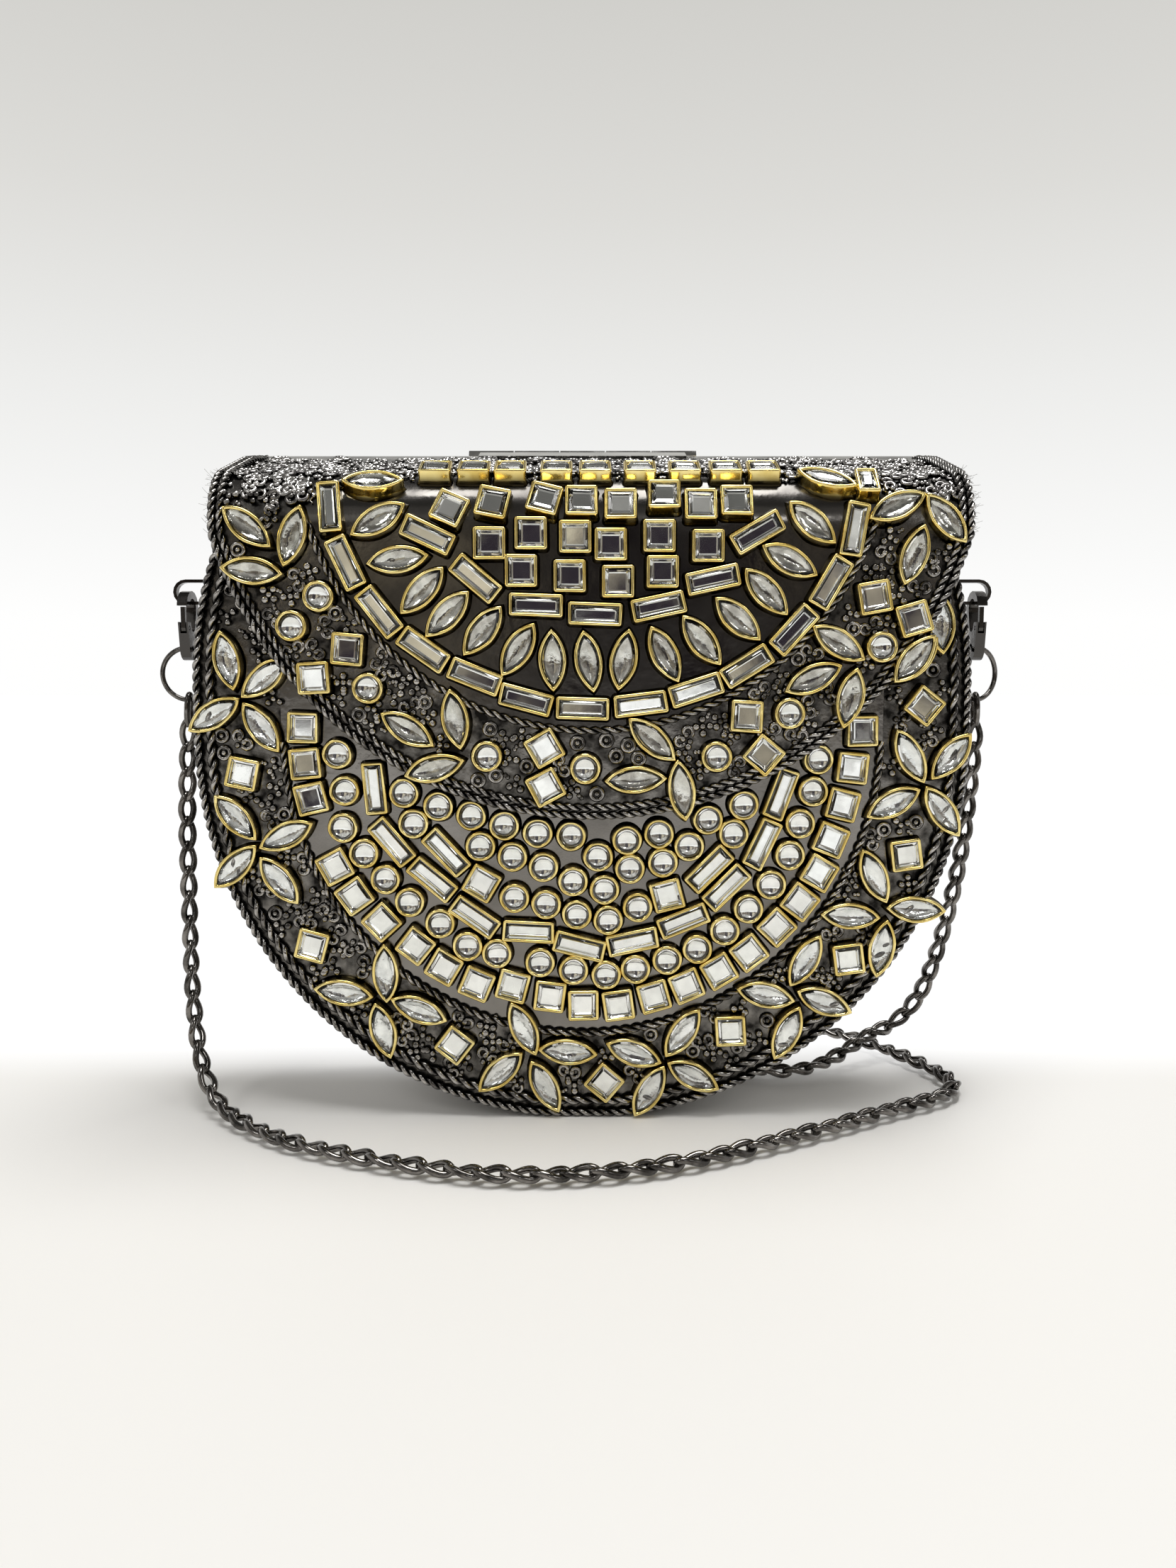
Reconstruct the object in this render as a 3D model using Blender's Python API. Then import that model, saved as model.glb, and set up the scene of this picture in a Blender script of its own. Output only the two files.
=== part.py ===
"""Half-moon clutch bag: a sheet-metal box with a hinged lid, bezel-set stones, wire borders and a chain strap.

Sizes are in metres. X runs to the right, -Y is the front and +Z is up. The bag stands on the small flat
under its round bottom, and the middle of its bounding box, strap apart, is over the origin.
"""

import math

import bmesh
import bpy
from mathutils import Matrix, Vector

# Clearances
GAP = 0.0003                    # between pieces that touch
OVERRUN = 0.004                 # how far a cutter runs past what it cuts
WELD = 0.000001                 # points this close are one
CREASE = math.radians(50)       # faces that meet at more than this shade as a corner

# Outline of the body, seen from the front
FIELD_RADIUS = 0.100            # half-round field that the stones are set out on
EDGE_BAND = 0.0032              # border outside that field
FOOT_WIDTH = 0.020              # flat that the bag stands on
STRAIGHT_SHARE = 0.15           # of FIELD_RADIUS: upright stretch above the half-round bottom
SHOULDER_SHARE = 0.38           # of FIELD_RADIUS: drawn-in stretch above that
BOTTOM_STEPS = 12
SHOULDER_STEPS = 4

# Body sheet and lining
BODY_DEPTH = 0.040              # outer face of the front sheet to outer face of the back sheet
SHEET = 0.0012                  # front, back and gusset metal
LINING = 0.0008                 # fabric-covered inner cup

# Lid
LID_SIDE_INSET = 0.0015         # each side of the lid is this much inside the field's half width
LID_SHIFT = 0.0024              # the lid sits a little to the right of the body
LID_BEND_SHARE = 1.593          # of FIELD_RADIUS: height where the lid's front face starts to bend back
LID_ARC_EXTRA = 0.0026          # the lid's round lower edge has this much more radius than the field
LID_DROP_SHARE = 0.826          # of FIELD_RADIUS: height of the lowest point of that edge
LID_SHEET = 0.0012
LID_LINING = 0.0008
LID_LINING_INSET = 0.0020       # how far the lid's lining stops short of its edge
LID_STANDOFF = 0.0039           # lid lining to front sheet: the lid closes over ropes and stones
LID_TOP_CLEARANCE = 0.0005      # lid lining to the top edges of the body
LID_BEND_RADIUS = 0.0140
LID_SLOPE = math.radians(18)    # the lid's top climbs this much towards the hinge
LID_CORNER_RADIUS = 0.0050      # rear corners of the lid
BEND_STEPS = 4
ARC_STEPS = 24

# Wire borders
EDGE_WIRE = 0.0009              # radius of the thin rope along each rim
BORDER_WIRE = 0.0010            # radius of the thicker rope inside it
ROPE_CLEARANCE = 0.00043        # rope to the channels that bezels have over it, at its corners
RIM_MARGIN = 0.0002             # rim to thin rope
BORDER_INSET = 0.0046           # rim to the middle of the thicker rope
MOTIF_WIRE = 0.0008             # radius of the ropes round the stone motifs
BODY_MOTIF_SHARE = 0.795        # of FIELD_RADIUS: radius of the body's half-round motif
LID_MOTIF_SHARE = 0.765         # of FIELD_RADIUS: radius of the lid's
LID_MOTIF_HEIGHT_SHARE = 1.825  # of FIELD_RADIUS: middle of the lid's
LID_WIRE = 0.0008               # radius of the lid's double border
LID_ROPE_INSET = 0.0011         # lid's edge to the middle of its outer rope
MOTIF_STEPS = 24

# Stones in their bezels
FRONT_STONE_HEIGHT = 0.0036     # top of the body's stones above the sheet
LID_STONE_HEIGHT = 0.0038       # the lid's stand higher
STONE_ROOT = 0.0008             # how deep a bezel is let into the sheet
ROOT_MARGIN = 0.0002            # metal left under the deepest root
BEZEL_RIM = 0.0008
STONE_DIP = 0.0006              # edge of the stone below the rim
STONE_CROWN = 0.0002            # top of the stone below the rim
ROUND_DOME = 0.0004             # domed top of a round stone above its rim
STONE_SEAT = 0.0003             # how far a stone on the bend is lifted off its chord
STONE_SIZES = {
    "square": (0.0084, 0.0084),
    "round": (0.0081, 0.0081),
    "baguette": (0.0140, 0.0060),
    "marquise": (0.0164, 0.0073),
    "short baguette": (0.0086, 0.0058),
}
ROUND_SIDES = 7
MARQUISE_STEPS = 3

# Hinge
HINGE_LENGTH = 0.0670
HINGE_BARREL = 0.0016           # outer radius of the knuckles
HINGE_BORE = 0.0010
HINGE_PIN = 0.0007
HINGE_LEAF = 0.0008
HINGE_REACH = 0.0090            # width of each leaf
HINGE_TUCK = 0.0009             # each leaf's edge to the axis, inside its knuckles
HINGE_EAR = 0.0100              # how far the lid's leaf runs on past its outer knuckles
HINGE_KNUCKLES = 5
HINGE_SIDE_GAP = 0.0002         # each leaf's notches to the other leaf's knuckles
HINGE_SIDES = 10

# Magnetic closure
MAGNET_RADIUS = 0.0060
MAGNET_THICKNESS = 0.0008
MAGNET_RISE = 0.0140            # above the lid's lowest point
MAGNET_SIDES = 14

# Side lugs
LUG_HEIGHT_SHARE = 1.435        # of FIELD_RADIUS
LUG_STAND_OUT = 0.0113          # the lug's outer end beyond the widest part of the body
LUG_WIDTH = 0.0022
LUG_STRIP = 0.0009
LUG_OPENING = 0.0052
LUG_PLATE = 0.0010
LUG_PLATE_HEIGHT = 0.0110
LUG_PLATE_WIDTH = 0.0050
LUG_STEPS = 8
LUG_PLATE_STEPS = 4

# Claw clasps
CLASP_THICKNESS = 0.0028
CLASP_SETBACK = 0.0036          # from the lug's outer end to the middle of the clasp
CLASP_LENGTH = 0.0194
CLASP_HEAD_RADIUS = 0.0050
CLASP_TAIL_RADIUS = 0.0034
CLASP_WALL = 0.0021             # metal round the head's opening
CLASP_THROAT_RADIUS = 0.0016    # round lower end of that opening
CLASP_THROAT_HEIGHT = 0.0096    # its middle above the tail
CLASP_EYE_RADIUS = 0.0013
CLASP_EYE_HEIGHT = 0.0035
CLASP_STEPS = 8
GATE_PIVOT_HEIGHT = 0.0090
GATE_PIVOT_SIDE = 0.0031        # from the clasp's middle line towards the front
GATE_ROOT_RADIUS = 0.0012
GATE_LENGTH = 0.0058            # pivot to tip
GATE_THICKNESS = 0.0012
GATE_DEPTH = 0.0012
GATE_CHEEK_RISE = 0.0016        # cheeks of the clasp above the pivot
GATE_PIN = 0.0004
GATE_STEPS = 8

# Chain strap
RING_RADIUS = 0.0073            # middle line of the end rings
RING_WIRE = 0.0007
RING_STEPS = 16
RING_SIDES = 6
RING_OFFSET = 0.0004            # rings hang a little outside the clasps
CHAIN_RADIUS = 0.00275
CHAIN_POINTS = 54
ROUTE_STEPS = 10                # between two points of the route

# Stone places: across and up, as shares of FIELD_RADIUS from the foot of the middle line, and the
# clockwise turn of the long side in degrees
FRONT_SQUARE_SHARES = (
    (-0.738, 1.066, 92), (-0.734, 0.970, 85), (-0.720, 0.877, 77), (-0.660, 0.694, 62),
    (-0.609, 0.615, 55), (-0.538, 0.543, 47), (-0.448, 0.478, 38), (-0.372, 0.420, 31),
    (-0.284, 0.374, 23), (-0.187, 0.368, 15), (-0.087, 0.339, 7), (0.004, 0.315, -1),
    (0.098, 0.315, -8), (0.194, 0.339, -16), (0.282, 0.368, -23), (0.369, 0.409, -31),
    (0.449, 0.460, -38), (0.523, 0.530, -46), (0.584, 0.598, -53), (0.634, 0.677, -60),
    (0.664, 0.766, -68), (0.694, 0.860, -76), (0.718, 0.959, -84), (0.742, 1.057, -91),
    (-0.269, 0.649, 30), (0.228, 0.616, -15), (-0.902, 0.944, 12), (-0.727, 0.478, 15),
    (-0.346, 0.205, 38), (0.060, 0.100, 40), (0.402, 0.244, -3), (0.718, 0.442, -8),
    (0.866, 0.725, -8), (0.904, 1.123, 38),
)
FRONT_ROUND_SHARES = (
    (-0.648, 0.996, 0), (-0.631, 0.898, 0), (-0.637, 0.799, 0), (-0.582, 0.730, 0), (-0.526, 0.660, 0),
    (-0.462, 0.598, 0), (-0.381, 0.540, 0), (-0.308, 0.478, 0), (-0.229, 0.458, 0), (-0.113, 0.433, 0),
    (-0.023, 0.412, 0), (0.065, 0.399, 0), (0.144, 0.415, 0), (0.229, 0.440, 0), (0.310, 0.470, 0),
    (0.383, 0.520, 0), (0.446, 0.580, 0), (0.506, 0.645, 0), (0.555, 0.725, 0), (0.581, 0.810, 0),
    (0.614, 0.896, 0), (0.626, 0.982, 0), (-0.181, 0.609, 0), (-0.096, 0.592, 0), (-0.014, 0.564, 0),
    (0.070, 0.549, 0), (0.149, 0.584, 0), (-0.473, 0.892, 0), (-0.382, 0.857, 0), (-0.295, 0.832, 0),
    (-0.207, 0.805, 0), (-0.118, 0.785, 0), (-0.029, 0.777, 0), (0.120, 0.766, 0), (0.205, 0.783, 0),
    (0.335, 0.821, 0), (0.430, 0.860, 0), (-0.449, 0.810, 0), (-0.271, 0.749, 0), (-0.186, 0.721, 0),
    (-0.103, 0.693, 0), (0.043, 0.721, 0), (0.128, 0.688, 0), (0.216, 0.705, 0), (0.286, 0.749, 0),
    (0.404, 0.783, 0), (-0.024, 0.654, 0), (0.060, 0.632, 0),
)
FRONT_BAGUETTE_SHARES = (
    (-0.551, 0.904, 85), (-0.507, 0.760, 50), (-0.400, 0.660, 40), (-0.288, 0.558, 35),
    (-0.144, 0.518, 3), (-0.007, 0.478, 14), (0.136, 0.490, -12), (0.272, 0.547, -22),
    (0.386, 0.638, -45), (0.480, 0.755, -65), (0.528, 0.890, -70), (-0.363, 0.732, 47),
    (0.340, 0.688, -45),
)
FRONT_MARQUISE_SHARES = (
    (-0.934, 1.242, 78), (-0.836, 1.197, -40), (-0.972, 1.100, -32), (-0.848, 1.066, 55),
    (-0.923, 0.827, 48), (-0.788, 0.778, -25), (-0.927, 0.694, -45), (-0.810, 0.657, 52),
    (-0.530, 0.403, 88), (-0.644, 0.350, 8), (-0.440, 0.302, 22), (-0.539, 0.245, 75),
    (-0.158, 0.250, 65), (-0.222, 0.130, -42), (-0.101, 0.090, 62), (-0.038, 0.186, 5),
    (0.272, 0.239, -55), (0.140, 0.183, 20), (0.182, 0.076, -60), (0.302, 0.119, 28),
    (0.601, 0.438, -60), (0.496, 0.344, 12), (0.654, 0.325, 22), (0.555, 0.239, -65),
    (0.782, 0.669, 65), (0.895, 0.578, 3), (0.720, 0.560, 3), (0.806, 0.471, -80),
    (0.870, 0.990, 62), (0.979, 0.990, -50), (0.828, 0.865, -28), (0.959, 0.843, 55),
    (0.943, 1.338, 86), (0.880, 1.244, -48),
)
LID_SQUARE_SHARES = (
    (-0.155, 1.470, 0), (-0.031, 1.457, 0), (0.093, 1.443, 0), (0.207, 1.468, 0), (-0.236, 1.540, 0),
    (-0.130, 1.565, 0), (-0.017, 1.556, 0), (0.074, 1.537, 0), (0.198, 1.558, 0), (0.323, 1.533, 0),
    (-0.339, 1.624, 25), (-0.228, 1.637, 12), (-0.096, 1.646, 15), (-0.001, 1.640, 0),
    (0.099, 1.633, 0), (0.211, 1.654, 0), (0.304, 1.632, 0), (0.396, 1.640, 0), (-0.384, 1.720, 0),
    (-0.282, 1.720, 0), (-0.187, 1.720, 0), (-0.067, 1.720, 0), (0.035, 1.720, 0), (0.152, 1.720, 0),
    (0.268, 1.720, 0), (0.375, 1.720, 0), (0.474, 1.720, 0), (-0.604, 1.270, 5), (-0.693, 1.197, -3),
    (-0.097, 1.015, -30), (-0.094, 0.914, -28), (0.427, 1.098, 3), (0.472, 0.998, 40),
    (0.752, 1.403, -10), (0.854, 1.348, -17),
)
LID_ROUND_SHARES = (
    (-0.676, 1.405, 0), (-0.747, 1.330, 0), (-0.553, 1.170, 0), (-0.247, 0.994, 0), (0.009, 0.962, 0),
    (0.350, 0.993, 0), (0.538, 1.105, 0), (0.773, 1.276, 0),
)
LID_BAGUETTE_SHARES = (
    (-0.647, 1.630, 84), (-0.604, 1.490, 65), (-0.520, 1.366, 52), (-0.408, 1.270, 35),
    (-0.276, 1.200, 22), (-0.145, 1.140, 15), (0.002, 1.118, 2), (0.152, 1.130, -7),
    (0.295, 1.166, -18), (0.425, 1.227, -32), (0.545, 1.320, -48), (0.638, 1.440, -60),
    (0.698, 1.574, -80), (-0.118, 1.383, 2), (0.034, 1.360, 2), (0.197, 1.380, -12),
    (-0.272, 1.450, 40), (0.336, 1.448, -12), (-0.394, 1.560, 25), (0.449, 1.566, -30),
)
LID_MARQUISE_SHARES = (
    (-0.520, 1.597, -30), (-0.471, 1.498, -8), (-0.409, 1.420, -47), (-0.345, 1.360, -46),
    (-0.255, 1.318, -52), (-0.164, 1.270, -58), (-0.076, 1.242, 88), (0.017, 1.240, 80),
    (0.108, 1.243, -80), (0.213, 1.258, 63), (0.308, 1.293, 52), (0.400, 1.348, 43),
    (0.472, 1.417, 47), (0.531, 1.496, 28), (0.588, 1.590, 42), (-0.856, 1.580, 40),
    (-0.740, 1.558, -74), (-0.845, 1.470, 6), (0.806, 1.628, -25), (0.932, 1.600, 52),
    (0.850, 1.510, -72), (-0.452, 1.064, 32), (-0.328, 1.090, 80), (-0.384, 0.963, -15),
    (0.182, 1.038, 42), (0.139, 0.933, -3), (0.260, 0.905, 82), (0.661, 1.286, 33),
    (0.597, 1.195, -25), (0.694, 1.146, -78), (0.857, 1.245, -50), (-0.540, 1.684, 0),
    (0.632, 1.692, 25),
)
LID_SHORT_SHARES = (
    (0.736, 1.686, 90),
)

# Route of the chain strap, from the left end ring round the front and under the bottom to the right one
CHAIN_ROUTE = (
    (-0.1112, 0.0032, 0.1121), (-0.1120, 0.0032, 0.1000), (-0.1125, 0.0020, 0.0800), (-0.1120, 0.0000, 0.0550),
    (-0.1105, -0.0040, 0.0320), (-0.1065, -0.0110, 0.0140), (-0.0990, -0.0200, 0.0048),
    (-0.0860, -0.0330, 0.0030), (-0.0684, -0.0455, 0.0029), (-0.0374, -0.0580, 0.0029),
    (-0.0104, -0.0625, 0.0029), (0.0226, -0.0560, 0.0029), (0.0606, -0.0355, 0.0029),
    (0.0850, -0.0200, 0.0029), (0.0980, -0.0125, 0.0029), (0.1065, -0.0035, 0.0029),
    (0.1065, 0.0080, 0.0029), (0.1015, 0.0205, 0.0029), (0.0945, 0.0330, 0.0029),
    (0.0860, 0.0450, 0.0029), (0.0730, 0.0530, 0.0029), (0.0560, 0.0500, 0.0029),
    (0.0455, 0.0370, 0.0029), (0.0450, 0.0220, 0.0029), (0.0540, 0.0110, 0.0029),
    (0.0670, 0.0120, 0.0031), (0.0790, 0.0200, 0.0050), (0.0890, 0.0270, 0.0088),
    (0.0980, 0.0320, 0.0110), (0.1055, 0.0300, 0.0210), (0.1095, 0.0220, 0.0420),
    (0.1115, 0.0120, 0.0700), (0.1115, 0.0045, 0.0980), (0.1112, 0.0032, 0.1121),
)

# Worked out from the sizes above
OUTER_RADIUS = FIELD_RADIUS + EDGE_BAND
STRAIGHT_RISE = STRAIGHT_SHARE * FIELD_RADIUS
SHOULDER_RISE = SHOULDER_SHARE * FIELD_RADIUS
LID_HALF_WIDTH = FIELD_RADIUS - LID_SIDE_INSET
LID_BEND_HEIGHT = LID_BEND_SHARE * FIELD_RADIUS
LID_ARC_RADIUS = FIELD_RADIUS + LID_ARC_EXTRA
LID_DROP = LID_DROP_SHARE * FIELD_RADIUS
BODY_MOTIF_RADIUS = BODY_MOTIF_SHARE * FIELD_RADIUS
LID_MOTIF_RADIUS = LID_MOTIF_SHARE * FIELD_RADIUS
LID_MOTIF_HEIGHT = LID_MOTIF_HEIGHT_SHARE * FIELD_RADIUS
LUG_HEIGHT = LUG_HEIGHT_SHARE * FIELD_RADIUS
LUG_REACH = OUTER_RADIUS + LUG_STAND_OUT
CENTRE_HEIGHT = math.sqrt(OUTER_RADIUS**2 - (FOOT_WIDTH / 2) ** 2)
SHOULDER_BASE = CENTRE_HEIGHT + STRAIGHT_RISE
SHOULDER_ANGLE = math.asin(SHOULDER_RISE / OUTER_RADIUS)
LID_STACK = LID_SHEET + GAP + LID_LINING + LID_STANDOFF
LID_UNDERSIDE = LID_SHEET + GAP + LID_LINING + LID_TOP_CLEARANCE
TOTAL_DEPTH = LID_STONE_HEIGHT + LID_STACK + BODY_DEPTH + GAP + 2 * HINGE_BARREL
LID_FACE = -TOTAL_DEPTH / 2 + LID_STONE_HEIGHT
FRONT_FACE = LID_FACE + LID_STACK
BACK_FACE = FRONT_FACE + BODY_DEPTH
INNER_FRONT = FRONT_FACE + SHEET + GAP
INNER_BACK = BACK_FACE - SHEET - GAP
SIDE_MIDDLE = (INNER_FRONT + INNER_BACK) / 2
LID_ARC_HEIGHT = LID_DROP + LID_ARC_RADIUS
MOUTH_BEND_RADIUS = LID_BEND_RADIUS - LID_STACK
CLASP_REACH = LUG_REACH - CLASP_SETBACK
LUG_INNER = LUG_OPENING / 2
LUG_BEND = LUG_REACH - LUG_STRIP - LUG_INNER
CLASP_PAST_BEND = max(0.0, CLASP_REACH + CLASP_THICKNESS / 2 - LUG_BEND)
LUG_FLOOR = LUG_HEIGHT - math.sqrt(LUG_INNER**2 - CLASP_PAST_BEND**2)
CLASP_HEAD_HOLE = CLASP_HEAD_RADIUS - CLASP_WALL
CLASP_REST = CLASP_LENGTH - CLASP_HEAD_RADIUS + math.sqrt(CLASP_HEAD_HOLE**2 - (LUG_WIDTH / 2) ** 2)
CLASP_BASE = LUG_FLOOR + GAP - CLASP_REST
RING_REACH = CLASP_REACH + RING_OFFSET
RING_SPREAD = RING_OFFSET + CLASP_THICKNESS / 2
RING_SAG = RING_RADIUS - math.sqrt(RING_RADIUS**2 - RING_SPREAD**2)
EYE_FLOOR = CLASP_BASE + CLASP_EYE_HEIGHT - CLASP_EYE_RADIUS * math.cos(math.pi / CLASP_STEPS)
RING_HEIGHT = EYE_FLOOR + GAP + RING_WIRE + RING_SAG - RING_RADIUS


def clear_scene():
    for old in list(bpy.data.objects):
        bpy.data.objects.remove(old, do_unlink=True)


def material(name, colour, roughness, metallic):
    made = bpy.data.materials.new(name)
    made.use_nodes = True
    shader = made.node_tree.nodes["Principled BSDF"]
    shader.inputs["Base Color"].default_value = (*colour, 1.0)
    shader.inputs["Roughness"].default_value = roughness
    shader.inputs["Metallic"].default_value = metallic
    made.diffuse_color = (*colour, 1.0)
    return made


def add_object(name, data, finish=None):
    made = bpy.data.objects.new(name, data)
    bpy.context.collection.objects.link(made)
    if finish is not None:
        made.data.materials.append(finish)
    return made


def mesh_object(name, work, finish=None):
    """The bmesh as an object, with its faces pointing out."""
    bmesh.ops.recalc_face_normals(work, faces=work.faces)
    mesh = bpy.data.meshes.new(name)
    work.to_mesh(mesh)
    work.free()
    return add_object(name, mesh, finish)


def cutter(made):
    made.hide_render = True
    made.display_type = "WIRE"
    return made


def boolean(target, tool, operation):
    modifier = target.modifiers.new(operation.lower(), "BOOLEAN")
    modifier.operation = operation
    modifier.solver = "EXACT"
    modifier.use_self = "stones" in target.name or "stones" in tool.name
    modifier.object = cutter(tool)
    return target


def prism(name, outline, axis, low, high, finish=None):
    """A closed outline pushed along Y or X. Outlines along Y hold (x, z) and outlines along X hold (y, z)."""
    work = bmesh.new()
    corners = [(a, low, b) if axis == "Y" else (low, a, b) for a, b in outline]
    face = work.faces.new([work.verts.new(corner) for corner in corners])
    pushed = bmesh.ops.extrude_face_region(work, geom=[face])
    moved = [part for part in pushed["geom"] if isinstance(part, bmesh.types.BMVert)]
    along = Vector((0, high - low, 0)) if axis == "Y" else Vector((high - low, 0, 0))
    bmesh.ops.translate(work, verts=moved, vec=along)
    return smooth(mesh_object(name, work, finish))


def smooth(made):
    """Round faces shade as round, and corners stay crisp."""
    made.data.shade_smooth()
    made.data.set_sharp_from_angle(angle=CREASE)
    return made


def tube(name, points, radius, finish, sides_step=1, closed=False):
    """A wire of round section through the points."""
    curve = bpy.data.curves.new(name, "CURVE")
    curve.dimensions = "3D"
    curve.bevel_depth = radius
    curve.bevel_resolution = sides_step
    curve.use_fill_caps = True
    line = curve.splines.new("POLY")
    line.points.add(len(points) - 1)
    for point, place in zip(line.points, points):
        point.co = (*place, 1.0)
    line.use_cyclic_u = closed
    return add_object(name, curve, finish)


def half_outline(inset, top):
    """The right half of the body's outline, from the foot to the top, moved in by the inset."""
    radius = OUTER_RADIUS - inset
    foot = math.sqrt(radius**2 - (CENTRE_HEIGHT - inset) ** 2)
    start = math.atan2(foot, CENTRE_HEIGHT - inset)
    points = [(foot, inset)]
    for step in range(1, BOTTOM_STEPS + 1):
        angle = start + (math.pi / 2 - start) * step / BOTTOM_STEPS
        points.append((radius * math.sin(angle), CENTRE_HEIGHT - radius * math.cos(angle)))
    for step in range(SHOULDER_STEPS + 1):
        angle = SHOULDER_ANGLE * step / SHOULDER_STEPS
        points.append((radius * math.cos(angle), SHOULDER_BASE + radius * math.sin(angle)))
    points.append((radius * math.cos(SHOULDER_ANGLE), top))
    return points


def body_outline(inset, top):
    right = half_outline(inset, top)
    return [(-x, z) for x, z in reversed(right)] + right


def side_x(height, inset=0.0):
    """How far out the side of the body is at a height on the shoulder."""
    return math.sqrt((OUTER_RADIUS - inset) ** 2 - (height - SHOULDER_BASE) ** 2)


def bend_centre(front_inset, top_inset, radius):
    """Middle of the bend of a line that runs inside the lid's outer face by the two insets."""
    outer = (LID_FACE + LID_BEND_RADIUS, LID_BEND_HEIGHT)
    across = LID_FACE + front_inset + radius
    lift = LID_BEND_RADIUS - top_inset - radius
    height = outer[1] + (lift + math.sin(LID_SLOPE) * (across - outer[0])) / math.cos(LID_SLOPE)
    return across, height


def side_profile(front_inset, top_inset, radius, rear):
    """(y, z) along the bend and the sloping top, ending at a depth."""
    across, height = bend_centre(front_inset, top_inset, radius)
    points = []
    for step in range(BEND_STEPS + 1):
        angle = (math.pi / 2 - LID_SLOPE) * step / BEND_STEPS
        points.append((across - radius * math.cos(angle), height + radius * math.sin(angle)))
    last = points[-1]
    points.append((rear, last[1] + (rear - last[0]) * math.tan(LID_SLOPE)))
    return points


MOUTH_CENTRE = bend_centre(LID_STACK, LID_UNDERSIDE, MOUTH_BEND_RADIUS)
MOUTH_FRONT = MOUTH_CENTRE[1]
LID_REAR = side_profile(0.0, 0.0, LID_BEND_RADIUS, BACK_FACE)[-1]
BODY_TOP = LID_REAR[1]
BACK_TOP = side_profile(LID_STACK, LID_UNDERSIDE, MOUTH_BEND_RADIUS, INNER_BACK)[-1][1]
HINGE_AXIS = (BACK_FACE + GAP + HINGE_BARREL, LID_REAR[1] + GAP)


def mouth_cutter(name):
    """Everything above the sloping line that the body's walls end at."""
    line = side_profile(LID_STACK, LID_UNDERSIDE, MOUTH_BEND_RADIUS, BACK_FACE + OVERRUN)
    ceiling = BODY_TOP + 2 * OVERRUN
    outline = [(FRONT_FACE - OVERRUN, MOUTH_FRONT), *line]
    outline += [(BACK_FACE + OVERRUN, ceiling), (FRONT_FACE - OVERRUN, ceiling)]
    reach = OUTER_RADIUS + OVERRUN
    return prism(name, outline, "X", -reach, reach)


def stone_outline(kind, inset):
    """Outline of a stone about its middle, moved in by the inset."""
    length, width = STONE_SIZES[kind]
    if kind == "round":
        radius = length / 2 - inset
        turn = 2 * math.pi / ROUND_SIDES
        return [(radius * math.cos(turn * i), radius * math.sin(turn * i)) for i in range(ROUND_SIDES)]
    if kind == "marquise":
        half = length / 2 - inset * length / width
        rise = width / 2 - inset
        radius = (half**2 + rise**2) / (2 * rise)
        sweep = math.asin(half / radius)
        side = []
        for step in range(MARQUISE_STEPS):
            angle = -sweep + 2 * sweep * step / MARQUISE_STEPS
            side.append((radius * math.sin(angle), radius * math.cos(angle) - (radius - rise)))
        return [(x, -y) for x, y in side] + [(-x, y) for x, y in side]
    half = length / 2 - inset
    rise = width / 2 - inset
    return [(-half, -rise), (half, -rise), (half, rise), (-half, rise)]


def add_stone(work, kind, frame, turn, top):
    """One bezel with its stone: rounds domed, marquises in a sloping rim, the rest dished."""
    spin = Matrix.Rotation(math.radians(-turn), 4, "Z")
    levels = [(0.0, -STONE_ROOT), (0.0, top - ROUND_DOME if kind == "round" else top)]
    if kind == "marquise":
        levels.append((BEZEL_RIM, top - STONE_DIP))
    crown_heights = {"round": top, "marquise": top - STONE_CROWN}
    crown_height = crown_heights.get(kind, top - STONE_DIP)
    rings = []
    for inset, height in levels:
        corners = [frame @ spin @ Vector((x, y, height)) for x, y in stone_outline(kind, inset)]
        rings.append([work.verts.new(corner) for corner in corners])
    count = len(rings[0])
    for low, high in zip(rings, rings[1:]):
        for i in range(count):
            after = (i + 1) % count
            work.faces.new((low[i], low[after], high[after], high[i]))
    work.faces.new(reversed(rings[0]))
    crown = work.verts.new(frame @ Vector((0, 0, crown_height)))
    for i in range(count):
        work.faces.new((rings[-1][i], rings[-1][(i + 1) % count], crown))


def surface_frame(x, y, z, lean):
    """Axes on a sheet: right, up along the sheet, and out of it, leaning back by an angle."""
    up = Vector((0, math.sin(lean), math.cos(lean)))
    out = Vector((0, -math.cos(lean), math.sin(lean)))
    axes = Matrix((Vector((1, 0, 0)), up, out)).transposed().to_4x4()
    return Matrix.Translation((x, y, z)) @ axes


def front_place(across_share, up_share, span):
    return surface_frame(across_share * FIELD_RADIUS, FRONT_FACE, up_share * FIELD_RADIUS, 0.0)


def lid_point(run):
    """(y, z, lean) of the lid's outer face after a run up its front, round its bend and along its top."""
    if run <= LID_BEND_HEIGHT:
        return LID_FACE, run, 0.0
    full = math.pi / 2 - LID_SLOPE
    lean = min((run - LID_BEND_HEIGHT) / LID_BEND_RADIUS, full)
    beyond = max(0.0, run - LID_BEND_HEIGHT - LID_BEND_RADIUS * full)
    y = LID_FACE + LID_BEND_RADIUS * (1 - math.cos(lean)) + beyond * math.cos(LID_SLOPE)
    z = LID_BEND_HEIGHT + LID_BEND_RADIUS * math.sin(lean) + beyond * math.sin(LID_SLOPE)
    return y, z, lean


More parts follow.
